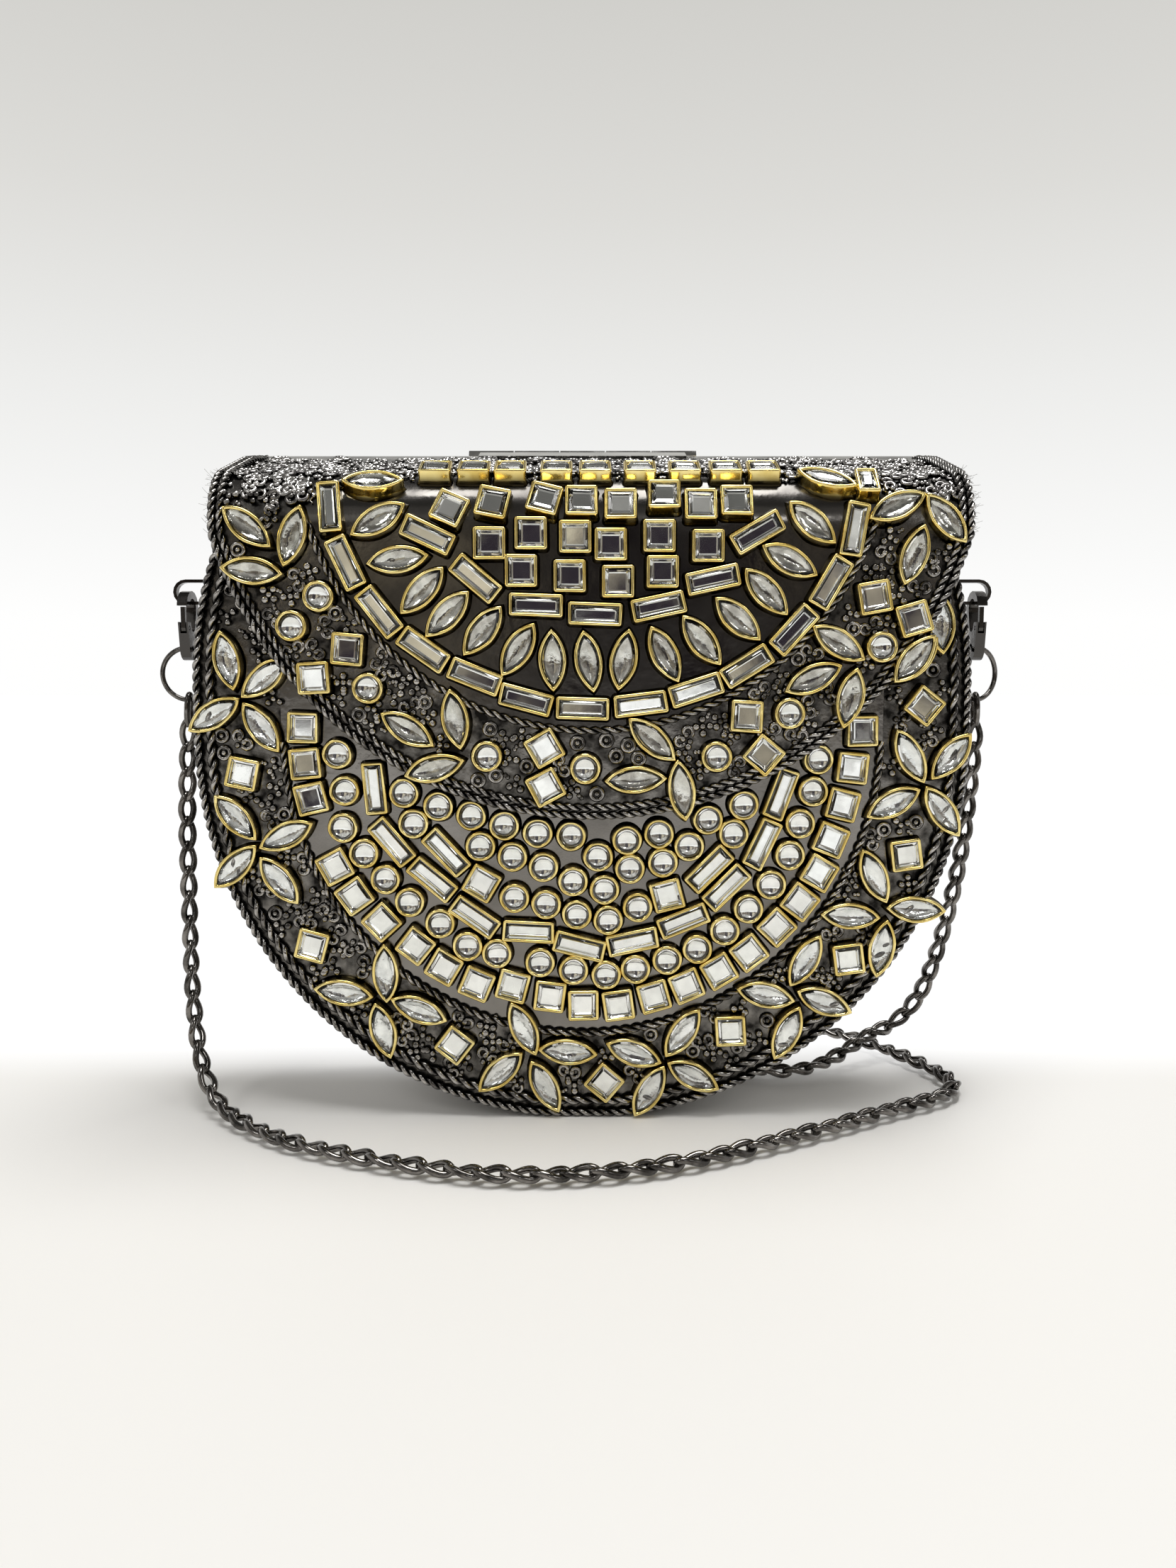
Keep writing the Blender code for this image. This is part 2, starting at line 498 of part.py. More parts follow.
def lid_place(across_share, up_share, span):
    """A frame on the lid at a height. On the bend a stone lies along the chord of its span."""
    x = across_share * FIELD_RADIUS
    height = up_share * FIELD_RADIUS
    if height + span <= LID_BEND_HEIGHT:
        return surface_frame(x, LID_FACE, height, 0.0)
    lift = max(0.0, height - LID_BEND_HEIGHT) / LID_BEND_RADIUS
    run = height if lift == 0.0 else LID_BEND_HEIGHT + LID_BEND_RADIUS * math.asin(min(lift, 1.0))
    low = lid_point(run - span)
    high = lid_point(run + span)
    lean = math.atan2(high[0] - low[0], high[1] - low[1])
    seat = Vector((x, (low[0] + high[0]) / 2, (low[1] + high[1]) / 2))
    seat += Vector((0, -math.cos(lean), math.sin(lean))) * min(STONE_SEAT, STONE_SEAT * lean)
    return surface_frame(seat.x, seat.y, seat.z, lean)


def stone_span(kind, turn):
    """Half of the height that a turned stone takes up."""
    spin = math.radians(-turn)
    return max(x * math.sin(spin) + y * math.cos(spin) for x, y in stone_outline(kind, 0.0))


def stones(name, place, tables, top):
    work = bmesh.new()
    for kind, rows in tables.items():
        for across, up, turn in rows:
            add_stone(work, kind, place(across, up, stone_span(kind, turn)), turn, top)
    return mesh_object(name, work)


def rim_path(inset, face, out):
    """Along the body's outline at an inset, off a face, from the left of the mouth to the right."""
    return [(x, face + out, z) for x, z in body_outline(inset, MOUTH_FRONT)]


def arc_path(middle_x, middle_z, radius, top, face):
    """Half-round path hanging under a height, off a face."""
    reach = math.acos(max(-1.0, (middle_z - top) / radius))
    points = []
    for step in range(MOTIF_STEPS + 1):
        angle = -reach + 2 * reach * step / MOTIF_STEPS
        points.append((middle_x + radius * math.sin(angle), face, middle_z - radius * math.cos(angle)))
    return points


def lid_arc(inset):
    """The lid's round lower edge, from left to right, moved in by the inset."""
    radius = LID_ARC_RADIUS - inset
    reach = math.asin((LID_HALF_WIDTH - inset) / radius)
    points = []
    for step in range(ARC_STEPS + 1):
        angle = -reach + 2 * reach * step / ARC_STEPS
        points.append((LID_SHIFT + radius * math.sin(angle), LID_ARC_HEIGHT - radius * math.cos(angle)))
    return points


def lid_rope_path(inset, off):
    """Round the lid's edge: forward along the left of its top, down the side, round, and back up."""
    arc = lid_arc(inset)
    full_run = LID_BEND_HEIGHT + LID_BEND_RADIUS * (math.pi / 2 - LID_SLOPE)
    bend_end = lid_point(full_run)[0]
    rear_run = full_run + (BACK_FACE - LID_CORNER_RADIUS - bend_end) / math.cos(LID_SLOPE)
    side = []
    for step in range(BEND_STEPS + 1):
        run = LID_BEND_HEIGHT + (full_run - LID_BEND_HEIGHT) * step / BEND_STEPS
        side.append(lid_point(run))
    side.append(lid_point(rear_run))
    half = LID_HALF_WIDTH - inset

    def lifted(x, y, z, lean):
        return x, y - off * math.cos(lean), z + off * math.sin(lean)

    left = [lifted(LID_SHIFT - half, *place) for place in reversed(side)]
    right = [lifted(LID_SHIFT + half, *place) for place in side]
    return left + [(x, LID_FACE - off, z) for x, z in arc] + right


def lid_sheet(name, depth, thickness, inset, finish):
    """A bent sheet under the lid's outer face by the depth, trimmed to the lid's outline less the inset."""
    outer = side_profile(depth, depth, LID_BEND_RADIUS - depth, BACK_FACE - inset)
    far = depth + thickness
    inner = side_profile(far, far, LID_BEND_RADIUS - far, BACK_FACE - inset)
    floor = LID_DROP - OVERRUN
    outline = [(LID_FACE + depth, floor), *outer, *reversed(inner), (LID_FACE + far, floor)]
    half = LID_HALF_WIDTH - inset
    sheet = prism(name, outline, "X", LID_SHIFT - half - OVERRUN, LID_SHIFT + half + OVERRUN, finish)
    below = LID_DROP - 2 * OVERRUN
    arc = lid_arc(inset)
    left = arc[0][0] - 2 * OVERRUN
    right = arc[-1][0] + 2 * OVERRUN
    trim = [(left, arc[0][1]), *arc, (right, arc[-1][1]), (right, below), (left, below)]
    trimmer = prism(name + "_arc_cutter", trim, "Y", LID_FACE - OVERRUN, LID_FACE + far + OVERRUN)
    boolean(sheet, trimmer, "DIFFERENCE")
    boolean(sheet, lid_plan(name + "_plan", half, inset), "INTERSECT")
    return sheet


def lid_core(name, depth):
    """Everything under the lid deeper than a depth, which no bezel's root may reach."""
    rear = BACK_FACE + OVERRUN
    line = side_profile(depth, depth, LID_BEND_RADIUS - depth, rear)
    floor = LID_DROP - 2 * OVERRUN
    reach = LID_HALF_WIDTH + 2 * OVERRUN
    return prism(name, [(LID_FACE + depth, floor), *line, (rear, floor)], "X", -reach, reach)


def lid_plan(name, half, inset):
    """Plan of the lid with its rear corners rounded, as a tall block."""
    work = bmesh.new()
    rear = BACK_FACE - inset
    radius = LID_CORNER_RADIUS
    corner = [(half, LID_FACE - OVERRUN)]
    for step in range(BEND_STEPS + 1):
        angle = math.pi / 2 * step / BEND_STEPS
        corner.append((half - radius + radius * math.cos(angle), rear - radius + radius * math.sin(angle)))
    outline = corner + [(-x, y) for x, y in reversed(corner)]
    floor = LID_DROP - 3 * OVERRUN
    face = work.faces.new([work.verts.new((LID_SHIFT + x, y, floor)) for x, y in outline])
    pushed = bmesh.ops.extrude_face_region(work, geom=[face])
    moved = [part for part in pushed["geom"] if isinstance(part, bmesh.types.BMVert)]
    bmesh.ops.translate(work, verts=moved, vec=(0, 0, BODY_TOP + OVERRUN - floor))
    return mesh_object(name, work)


def circle(middle_a, middle_b, radius, steps, start=0.0, sweep=2 * math.pi):
    """Points round a circle, or along part of one when the sweep is short."""
    whole = sweep == 2 * math.pi
    count = steps if whole else steps + 1
    turns = [start + sweep * i / steps for i in range(count)]
    return [(middle_a + radius * math.cos(turn), middle_b + radius * math.sin(turn)) for turn in turns]


def disc(name, radius, z, y, thickness, finish=None):
    """A round plate on the middle line that faces along Y, its front face at y."""
    return prism(name, circle(0.0, z, radius, MAGNET_SIDES), "Y", y, y + thickness, finish)


def box(name, low, high, finish=None):
    outline = [(low[1], low[2]), (high[1], low[2]), (high[1], high[2]), (low[1], high[2])]
    return prism(name, outline, "X", low[0], high[0], finish)


def hang(pieces, name, place):
    """Puts pieces on an empty at their joint, where they already are."""
    pivot = bpy.data.objects.new(name, None)
    bpy.context.collection.objects.link(pivot)
    pivot.location = place
    for piece in pieces:
        piece.parent = pivot
        piece.location = [-value for value in place]


def make_body(metal, fabric, steel):
    gusset_outline = body_outline(0.0, BODY_TOP) + list(reversed(body_outline(SHEET, BODY_TOP)))
    gusset = prism("gusset", gusset_outline, "Y", INNER_FRONT, INNER_BACK, metal)
    boolean(gusset, mouth_cutter("gusset_mouth_cutter"), "DIFFERENCE")

    front = prism("front_panel", body_outline(0.0, MOUTH_FRONT), "Y", FRONT_FACE, FRONT_FACE + SHEET, metal)
    tables = {
        "square": FRONT_SQUARE_SHARES,
        "round": FRONT_ROUND_SHARES,
        "baguette": FRONT_BAGUETTE_SHARES,
        "marquise": FRONT_MARQUISE_SHARES,
    }
    mosaic = stones("front_stones", front_place, tables, FRONT_STONE_HEIGHT)
    wires = (("thin", EDGE_WIRE), ("thick", BORDER_WIRE), ("motif", MOTIF_WIRE))
    for path, (name, radius) in zip(body_rope_paths(), wires):
        clear_rope(mosaic, path, radius, "front_" + name + "_channel")
    boolean(front, mosaic, "UNION")

    prism("back_panel", body_outline(0.0, BACK_TOP), "Y", BACK_FACE - SHEET, BACK_FACE, metal)

    cup = prism("body_lining", body_outline(SHEET + GAP, BODY_TOP), "Y", INNER_FRONT, INNER_BACK, fabric)
    hollow_outline = body_outline(SHEET + GAP + LINING, BODY_TOP + OVERRUN)
    hollow = prism("lining_hollow", hollow_outline, "Y", INNER_FRONT + LINING, INNER_BACK - LINING)
    boolean(cup, hollow, "DIFFERENCE")
    boolean(cup, mouth_cutter("lining_mouth_cutter"), "DIFFERENCE")
    height = LID_DROP + MAGNET_RISE
    reach = LINING + 2 * OVERRUN
    pocket = disc("body_magnet_pocket", MAGNET_RADIUS + GAP, height, INNER_FRONT - OVERRUN, reach)
    boolean(cup, pocket, "DIFFERENCE")
    disc("body_magnet", MAGNET_RADIUS, height, INNER_FRONT, MAGNET_THICKNESS, steel)


def body_rope_paths():
    thin = rim_path(EDGE_WIRE + RIM_MARGIN, FRONT_FACE, -GAP - EDGE_WIRE)
    thick = rim_path(BORDER_INSET, FRONT_FACE, -GAP - BORDER_WIRE)
    face = FRONT_FACE - GAP - MOTIF_WIRE
    motif = arc_path(0.0, CENTRE_HEIGHT, BODY_MOTIF_RADIUS, CENTRE_HEIGHT, face)
    return thin, thick, motif


def clear_rope(mosaic, path, radius, name):
    """Cuts a channel round a rope out of the bezels that stand over it."""
    points = [Vector(place) for place in path]
    points[0] += (points[0] - points[1]).normalized() * ROPE_CLEARANCE
    points[-1] += (points[-1] - points[-2]).normalized() * ROPE_CLEARANCE
    channel = as_mesh(tube(name, points, radius + ROPE_CLEARANCE, None, 0))
    boolean(mosaic, channel, "DIFFERENCE")


def as_mesh(curve_object):
    """The same shape as a mesh object, for a Boolean to use."""
    work = bmesh.new()
    work.from_mesh(bpy.data.meshes.new_from_object(curve_object))
    name = curve_object.name
    bpy.data.objects.remove(curve_object, do_unlink=True)
    bmesh.ops.remove_doubles(work, verts=work.verts, dist=WELD)
    return mesh_object(name, work)


def make_body_ropes(wire):
    thin, thick, motif = body_rope_paths()
    tube("front_edge_rope", thin, EDGE_WIRE, wire, 0)
    tube("front_border_rope", thick, BORDER_WIRE, wire, 0)
    tube("front_motif_rope", motif, MOTIF_WIRE, wire, 0)
    inset = EDGE_WIRE + RIM_MARGIN
    tube("back_edge_rope", rim_path(inset, BACK_FACE, GAP + EDGE_WIRE), EDGE_WIRE, wire, 0)


def lid_rope_paths():
    outer = lid_rope_path(LID_ROPE_INSET, GAP + LID_WIRE)
    inner = lid_rope_path(LID_ROPE_INSET + 2 * LID_WIRE + GAP, GAP + LID_WIRE)
    face = LID_FACE - GAP - LID_WIRE
    motif = arc_path(LID_SHIFT, LID_MOTIF_HEIGHT, LID_MOTIF_RADIUS, LID_BEND_HEIGHT, face)
    return outer, inner, motif


def make_lid(metal, fabric, wire, steel):
    sheet = lid_sheet("flap_panel", 0.0, LID_SHEET, 0.0, metal)
    tables = {
        "square": LID_SQUARE_SHARES,
        "round": LID_ROUND_SHARES,
        "baguette": LID_BAGUETTE_SHARES,
        "marquise": LID_MARQUISE_SHARES,
        "short baguette": LID_SHORT_SHARES,
    }
    mosaic = stones("lid_stones", lid_place, tables, LID_STONE_HEIGHT)
    for path, name in zip(lid_rope_paths(), ("outer", "inner", "motif")):
        clear_rope(mosaic, path, LID_WIRE, "lid_" + name + "_channel")
    boolean(mosaic, lid_core("lid_core_cutter", LID_SHEET - ROOT_MARGIN), "DIFFERENCE")
    boolean(sheet, mosaic, "UNION")
    lining = lid_sheet("flap_lining", LID_SHEET + GAP, LID_LINING, LID_LINING_INSET, fabric)
    height = LID_DROP + MAGNET_RISE
    face = LID_FACE + LID_SHEET + GAP
    reach = LID_LINING + 2 * OVERRUN
    pocket = disc("lid_magnet_pocket", MAGNET_RADIUS + GAP, height, face - OVERRUN, reach)
    boolean(lining, pocket, "DIFFERENCE")
    magnet = disc("flap_magnet", MAGNET_RADIUS, height, face, MAGNET_THICKNESS, steel)
    outer, inner, motif = lid_rope_paths()
    ropes = [
        tube("flap_edge_rope", outer, LID_WIRE, wire, 0),
        tube("flap_inner_rope", inner, LID_WIRE, wire, 0),
        tube("flap_motif_rope", motif, LID_WIRE, wire, 0),
    ]
    return [sheet, lining, magnet, *ropes]


def knuckle_spans():
    pitch = (HINGE_LENGTH + GAP) / HINGE_KNUCKLES
    starts = [-HINGE_LENGTH / 2 + pitch * i for i in range(HINGE_KNUCKLES)]
    return [(start, start + pitch - GAP) for start in starts]


def barrel(name, span, radius, finish=None):
    y, z = HINGE_AXIS
    return prism(name, circle(y, z, radius, HINGE_SIDES), "X", span[0], span[1], finish)


def make_hinge(metal):
    y, z = HINGE_AXIS
    spans = knuckle_spans()
    body_spans = spans[0::2]
    lid_spans = spans[1::2]
    leaf_face = BACK_FACE + GAP
    half = HINGE_LENGTH / 2
    clear = HINGE_BARREL + GAP

    leaf_top = (half, leaf_face + HINGE_LEAF, z - HINGE_TUCK)
    body_leaf = box("hinge_body_leaf", (-half, leaf_face, z - HINGE_REACH), leaf_top, metal)
    for index, span in enumerate(lid_spans):
        low = (span[0] - HINGE_SIDE_GAP, leaf_face - OVERRUN, z - clear)
        high = (span[1] + HINGE_SIDE_GAP, leaf_face + OVERRUN, z + OVERRUN)
        boolean(body_leaf, box("body_leaf_notch_%d" % index, low, high), "DIFFERENCE")
    for index, span in enumerate(body_spans):
        boolean(body_leaf, barrel("body_knuckle_%d" % index, span, HINGE_BARREL), "UNION")

    slope = Vector((0, math.cos(LID_SLOPE), math.sin(LID_SLOPE)))
    out = Vector((0, -math.sin(LID_SLOPE), math.cos(LID_SLOPE)))
    rear = Vector((0, *LID_REAR))
    axis = Vector((0, y, z))
    low_side = rear + out * GAP
    along = (axis - low_side).dot(slope)

    def leaf_outline(start, end, low_lift, high_lift):
        corners = [(start, low_lift), (end, low_lift), (end, high_lift), (start, high_lift)]
        points = [low_side + slope * run + out * lift for run, lift in corners]
        return [(point.y, point.z) for point in points]

    plate = leaf_outline(along - HINGE_REACH, along - HINGE_TUCK, 0.0, HINGE_LEAF)
    ears = (lid_spans[0][0] - HINGE_EAR, lid_spans[-1][1] + HINGE_EAR)
    lid_leaf = prism("hinge_flap_leaf", plate, "X", *ears, metal)
    notch = leaf_outline(along - clear, along + OVERRUN, -OVERRUN, OVERRUN)
    for index, span in enumerate(body_spans):
        spread = (span[0] - HINGE_SIDE_GAP, span[1] + HINGE_SIDE_GAP)
        boolean(lid_leaf, prism("lid_leaf_notch_%d" % index, notch, "X", *spread), "DIFFERENCE")
    for index, span in enumerate(lid_spans):
        boolean(lid_leaf, barrel("lid_knuckle_%d" % index, span, HINGE_BARREL), "UNION")
    bore_span = (-half - OVERRUN, half + OVERRUN)
    for leaf in (body_leaf, lid_leaf):
        boolean(leaf, barrel(leaf.name + "_bore", bore_span, HINGE_BORE), "DIFFERENCE")
    barrel("hinge_pin", (-half, half), HINGE_PIN, metal)
    return lid_leaf


def make_lug(name, side, metal):
    """Flat wire bent into a loop, on a small plate that follows the gusset."""
    inner = LUG_INNER
    outer = inner + LUG_STRIP
    root_high = side_x(LUG_HEIGHT + outer) + GAP + LUG_PLATE / 2
    root_low = side_x(LUG_HEIGHT - outer) + GAP + LUG_PLATE / 2
    loop = [(root_high, LUG_HEIGHT + outer)]
    loop += circle(LUG_BEND, LUG_HEIGHT, outer, LUG_STEPS, math.pi / 2, -math.pi)
    loop += [(root_low, LUG_HEIGHT - outer), (root_low, LUG_HEIGHT - inner)]
    loop += circle(LUG_BEND, LUG_HEIGHT, inner, LUG_STEPS, -math.pi / 2, math.pi)
    loop += [(root_high, LUG_HEIGHT + inner)]
    foot_end = LUG_HEIGHT - LUG_PLATE_HEIGHT / 2
    heights = [foot_end + LUG_PLATE_HEIGHT * i / LUG_PLATE_STEPS for i in range(LUG_PLATE_STEPS + 1)]
    plate = [(side_x(z) + GAP + LUG_PLATE, z) for z in heights]
    plate += [(side_x(z) + GAP, z) for z in reversed(heights)]
    strip = [(side * x, z) for x, z in loop]
    foot = [(side * x, z) for x, z in plate]
    half = LUG_WIDTH / 2
    lug = prism(name, strip, "Y", SIDE_MIDDLE - half, SIDE_MIDDLE + half, metal)
    half = LUG_PLATE_WIDTH / 2
    boolean(lug, prism(name + "_plate", foot, "Y", SIDE_MIDDLE - half, SIDE_MIDDLE + half), "UNION")


def hull_outline(low_height, low_radius, high_height, high_radius):
    """Outline round two circles on the clasp's middle line, as (y, z)."""
    tilt = math.asin((high_radius - low_radius) / (high_height - low_height))
    head = circle(SIDE_MIDDLE, CLASP_BASE + high_height, high_radius, CLASP_STEPS, -tilt, math.pi + 2 * tilt)
    sweep = math.pi - 2 * tilt
    tail = circle(SIDE_MIDDLE, CLASP_BASE + low_height, low_radius, CLASP_STEPS, math.pi + tilt, sweep)
    return head + tail


def make_clasp(name, side, metal):
    """Claw clasp with its front strand cut away for the gate, which turns between two cheeks."""
    half = CLASP_THICKNESS / 2
    low = side * CLASP_REACH - half
    high = side * CLASP_REACH + half
    through = (low - OVERRUN, high + OVERRUN)
    head_height = CLASP_LENGTH - CLASP_HEAD_RADIUS
    body_form = hull_outline(CLASP_TAIL_RADIUS, CLASP_TAIL_RADIUS, head_height, CLASP_HEAD_RADIUS)
    clasp = prism(name, body_form, "X", low, high, metal)
    opening = hull_outline(CLASP_THROAT_HEIGHT, CLASP_THROAT_RADIUS, head_height, CLASP_HEAD_HOLE)
    boolean(clasp, prism(name + "_opening", opening, "X", *through), "DIFFERENCE")
    eye = circle(SIDE_MIDDLE, CLASP_BASE + CLASP_EYE_HEIGHT, CLASP_EYE_RADIUS, CLASP_STEPS)
    boolean(clasp, prism(name + "_eye", eye, "X", *through), "DIFFERENCE")

    pivot_y, pivot_z = gate_pivot()
    strand_top = pivot_z + GATE_LENGTH + GAP
    front = SIDE_MIDDLE - CLASP_HEAD_RADIUS - OVERRUN
    cut = box(name + "_strand_cutter", (through[0], front, pivot_z + GATE_CHEEK_RISE),
              (through[1], SIDE_MIDDLE, strand_top))
    boolean(clasp, cut, "DIFFERENCE")
    slot_half = GATE_DEPTH / 2 + GAP
    middle = side * CLASP_REACH
    slot = box(name + "_slot_cutter", (middle - slot_half, front, pivot_z - GATE_ROOT_RADIUS - GAP),
               (middle + slot_half, SIDE_MIDDLE - CLASP_THROAT_RADIUS / 2, strand_top))
    boolean(clasp, slot, "DIFFERENCE")
    pin_hole = circle(pivot_y, pivot_z, GATE_PIN + GAP, GATE_STEPS)
    boolean(clasp, prism(name + "_pin_hole", pin_hole, "X", *through), "DIFFERENCE")


def gate_pivot():
    return SIDE_MIDDLE - GATE_PIVOT_SIDE, CLASP_BASE + GATE_PIVOT_HEIGHT


def make_gate(side_name, side, metal):
    pivot_y, pivot_z = gate_pivot()
    middle = side * CLASP_REACH
    half = GATE_DEPTH / 2
    root = circle(pivot_y, pivot_z, GATE_ROOT_RADIUS, GATE_STEPS)
    gate = prism("clasp_gate_" + side_name, root, "X", middle - half, middle + half, metal)
    face = pivot_y - GATE_ROOT_RADIUS
    tip = pivot_z + GATE_LENGTH
    arm_top = (middle + half, face + GATE_THICKNESS, tip)
    arm = box("gate_arm_" + side_name, (middle - half, face, pivot_z), arm_top)
    boolean(gate, arm, "UNION")
    hole = circle(pivot_y, pivot_z, GATE_PIN + GAP, GATE_STEPS)
    span = (middle - half - OVERRUN, middle + half + OVERRUN)
    boolean(gate, prism("gate_hole_" + side_name, hole, "X", *span), "DIFFERENCE")
    reach = CLASP_THICKNESS / 2
    pin = circle(pivot_y, pivot_z, GATE_PIN, GATE_STEPS)
    prism("gate_pin_" + side_name, pin, "X", middle - reach, middle + reach, metal)
    hang([gate], "gate_joint_" + side_name, (middle, pivot_y, pivot_z))


def make_ring(name, side, metal):
    x = side * RING_REACH
    path = [(x + a, SIDE_MIDDLE, RING_HEIGHT + b) for a, b in circle(0.0, 0.0, RING_RADIUS, RING_STEPS)]
    tube(name, path, RING_WIRE, metal, 1, closed=True)


def chain_path():
    """The route as a smooth curve, at even steps along it."""
    route = [Vector(place) for place in CHAIN_ROUTE]
    fine = []
    for i in range(len(route) - 1):
        before = route[max(i - 1, 0)]
        after = route[min(i + 2, len(route) - 1)]
        pull_in = (route[i + 1] - before) / 2
        pull_out = (after - route[i]) / 2
        for step in range(ROUTE_STEPS):
            t = step / ROUTE_STEPS
            a = 2 * t**3 - 3 * t**2 + 1
            b = t**3 - 2 * t**2 + t
            c = -2 * t**3 + 3 * t**2
            d = t**3 - t**2
            fine.append(route[i] * a + pull_in * b + route[i + 1] * c + pull_out * d)
    fine.append(route[-1])
    lengths = [0.0]
    for start, end in zip(fine, fine[1:]):
        lengths.append(lengths[-1] + (end - start).length)
    path = []
    spot = 0
    for step in range(CHAIN_POINTS):
        goal = lengths[-1] * step / (CHAIN_POINTS - 1)
        while spot < len(fine) - 2 and lengths[spot + 1] < goal:
            spot += 1
        share = (goal - lengths[spot]) / (lengths[spot + 1] - lengths[spot])
        path.append(fine[spot].lerp(fine[spot + 1], share))
    return path


clear_scene()
gunmetal = material("gunmetal_sheet", (0.16, 0.155, 0.15), 0.32, 1.0)
velvet = material("black_lining", (0.02, 0.02, 0.022), 0.9, 0.0)
black_wire = material("black_nickel_wire", (0.07, 0.068, 0.066), 0.38, 1.0)
steel = material("magnet_steel", (0.5, 0.5, 0.5), 0.3, 1.0)
nickel = material("bright_nickel", (0.55, 0.54, 0.52), 0.2, 1.0)
dark_nickel = material("dark_nickel_fittings", (0.14, 0.135, 0.13), 0.28, 1.0)

make_body(gunmetal, velvet, steel)
make_body_ropes(black_wire)
lid_pieces = make_lid(gunmetal, velvet, black_wire, steel)
lid_pieces.append(make_hinge(nickel))
hang(lid_pieces, "flap_joint", (0.0, *HINGE_AXIS))
for side_name, side in (("left", -1), ("right", 1)):
    make_lug("lug_" + side_name, side, dark_nickel)
    make_clasp("clasp_" + side_name, side, dark_nickel)
    make_gate(side_name, side, dark_nickel)
    make_ring("jump_ring_" + side_name, side, dark_nickel)
tube("chain", chain_path(), CHAIN_RADIUS, dark_nickel, 2)
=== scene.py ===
"""Half-moon clutch bag: gunmetal sheet, gold bezels with foiled glass stones, wire borders, curb chain."""

import math
import random

import bpy
from mathutils import Matrix, Vector


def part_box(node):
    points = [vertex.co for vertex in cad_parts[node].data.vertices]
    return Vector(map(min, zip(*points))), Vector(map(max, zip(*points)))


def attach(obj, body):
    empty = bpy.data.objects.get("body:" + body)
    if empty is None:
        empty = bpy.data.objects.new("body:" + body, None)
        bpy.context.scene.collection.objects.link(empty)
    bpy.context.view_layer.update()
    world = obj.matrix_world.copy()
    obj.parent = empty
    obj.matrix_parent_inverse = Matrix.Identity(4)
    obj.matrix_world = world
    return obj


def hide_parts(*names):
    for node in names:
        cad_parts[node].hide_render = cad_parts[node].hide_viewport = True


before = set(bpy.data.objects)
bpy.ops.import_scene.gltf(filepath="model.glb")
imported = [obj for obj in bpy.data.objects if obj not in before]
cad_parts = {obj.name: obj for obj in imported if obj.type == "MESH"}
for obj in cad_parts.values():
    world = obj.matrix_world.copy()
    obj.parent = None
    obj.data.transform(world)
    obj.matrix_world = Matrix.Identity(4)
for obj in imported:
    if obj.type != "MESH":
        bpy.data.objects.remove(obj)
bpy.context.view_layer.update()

# Sizes of the bag in metres, the same as the solid model's
OUTER_RADIUS = 0.1032
FIELD_RADIUS = 0.1000
HALF_FOOT = 0.010
CENTRE_HEIGHT = math.sqrt(OUTER_RADIUS**2 - HALF_FOOT**2)
SHOULDER_BASE = CENTRE_HEIGHT + 0.015
SHOULDER_RISE = 0.038
SHOULDER_ANGLE = math.asin(SHOULDER_RISE / OUTER_RADIUS)
SHEET = 0.0012
GAP = 0.0003
LINING = 0.0008
FRONT_FACE = -0.01675
BACK_FACE = 0.02325
INNER_FRONT = FRONT_FACE + SHEET + GAP
INNER_BACK = BACK_FACE - SHEET - GAP
LID_FACE = -0.02295
LID_UNDERSIDE = 0.0028
LID_HALF_WIDTH = 0.0985
LID_SHIFT = 0.0024
LID_BEND_RADIUS = 0.0140
LID_BEND_HEIGHT = 0.1593
LID_SLOPE = math.radians(18)
LID_ARC_RADIUS = 0.1026
LID_ARC_HEIGHT = 0.0826 + LID_ARC_RADIUS
LID_CORNER_RADIUS = 0.0050
FULL_RUN = LID_BEND_HEIGHT + LID_BEND_RADIUS * (math.pi / 2 - LID_SLOPE)
MOUTH_BEND_RADIUS = LID_BEND_RADIUS - (FRONT_FACE - LID_FACE)
HINGE_LEAF = 0.0008
FRONT_STONE_HEIGHT = 0.0036
LID_STONE_HEIGHT = 0.0038

# Sizes that only the looks need
EASE = 0.0003                   # rounding of the sheets' edges
STRIP_LIFT = 0.00006            # dark mottled strips above their sheet
MOTIF_ROPE = 0.0795             # radii round the body's centre: the half-round's rope,
MOTIF_FIELD = 0.0803            # where the dark mottled strip starts
MOTIF_CLEAR = 0.0818            # and where the granules start
BORDER_CLEAR = 0.0070           # granules to the body's rim
LID_MOTIF_HEIGHT = 0.1825       # centre of the lid's half-round, and the same three radii
LID_MOTIF_ROPE = 0.0765
LID_MOTIF_FIELD = 0.0773
LID_MOTIF_CLEAR = 0.0790
LID_BORDER_REACH = 0.0970       # the lid's granules stop here, round its arc's centre
LID_SIDE_REACH = 0.0935         # and here, to each side of its middle
LID_STRIP_INSET = 0.0008        # the lid's dark mottled strip to its side edge
LID_LINING_INSET = 0.0020
DISH_RADIUS = 0.0117            # bowl of foil under a round stone
DISH_ANGLES = (11.5, 9, 6.4, 3.2, 0.6)
STONE_TILT = 3.2                # degrees that a glass may lie crooked
STONE_CORNER = 0.0007           # rounding of a square stone's corners
LEAST_CORNER = 0.00012          # and what is left of it further in
BLUNT_TIP = 0.985               # share of its arcs that a marquise keeps
BEND_LIFT = 0.0003              # most that a stone on the lid's bend is lifted
STRIP_REAR_INSET = 0.0055       # the lid's top strip to its rear edge
ROPE_LIFT = 0.0011              # middle of a motif's rope above its sheet
CLOTH_WAVE = 0.00012
HEM_RADIUS = 0.00052
THREAD_RADIUS = 0.00006
RIVET_DROP = 0.0056             # rivets below the hinge's pin
RIVET_PLACES = (-0.0280, -0.0095, 0.0095, 0.0280)
SCROLL_WIRE = 0.00060
DOT_WIRE = 0.00058
CRUMB_WIRE = 0.00032

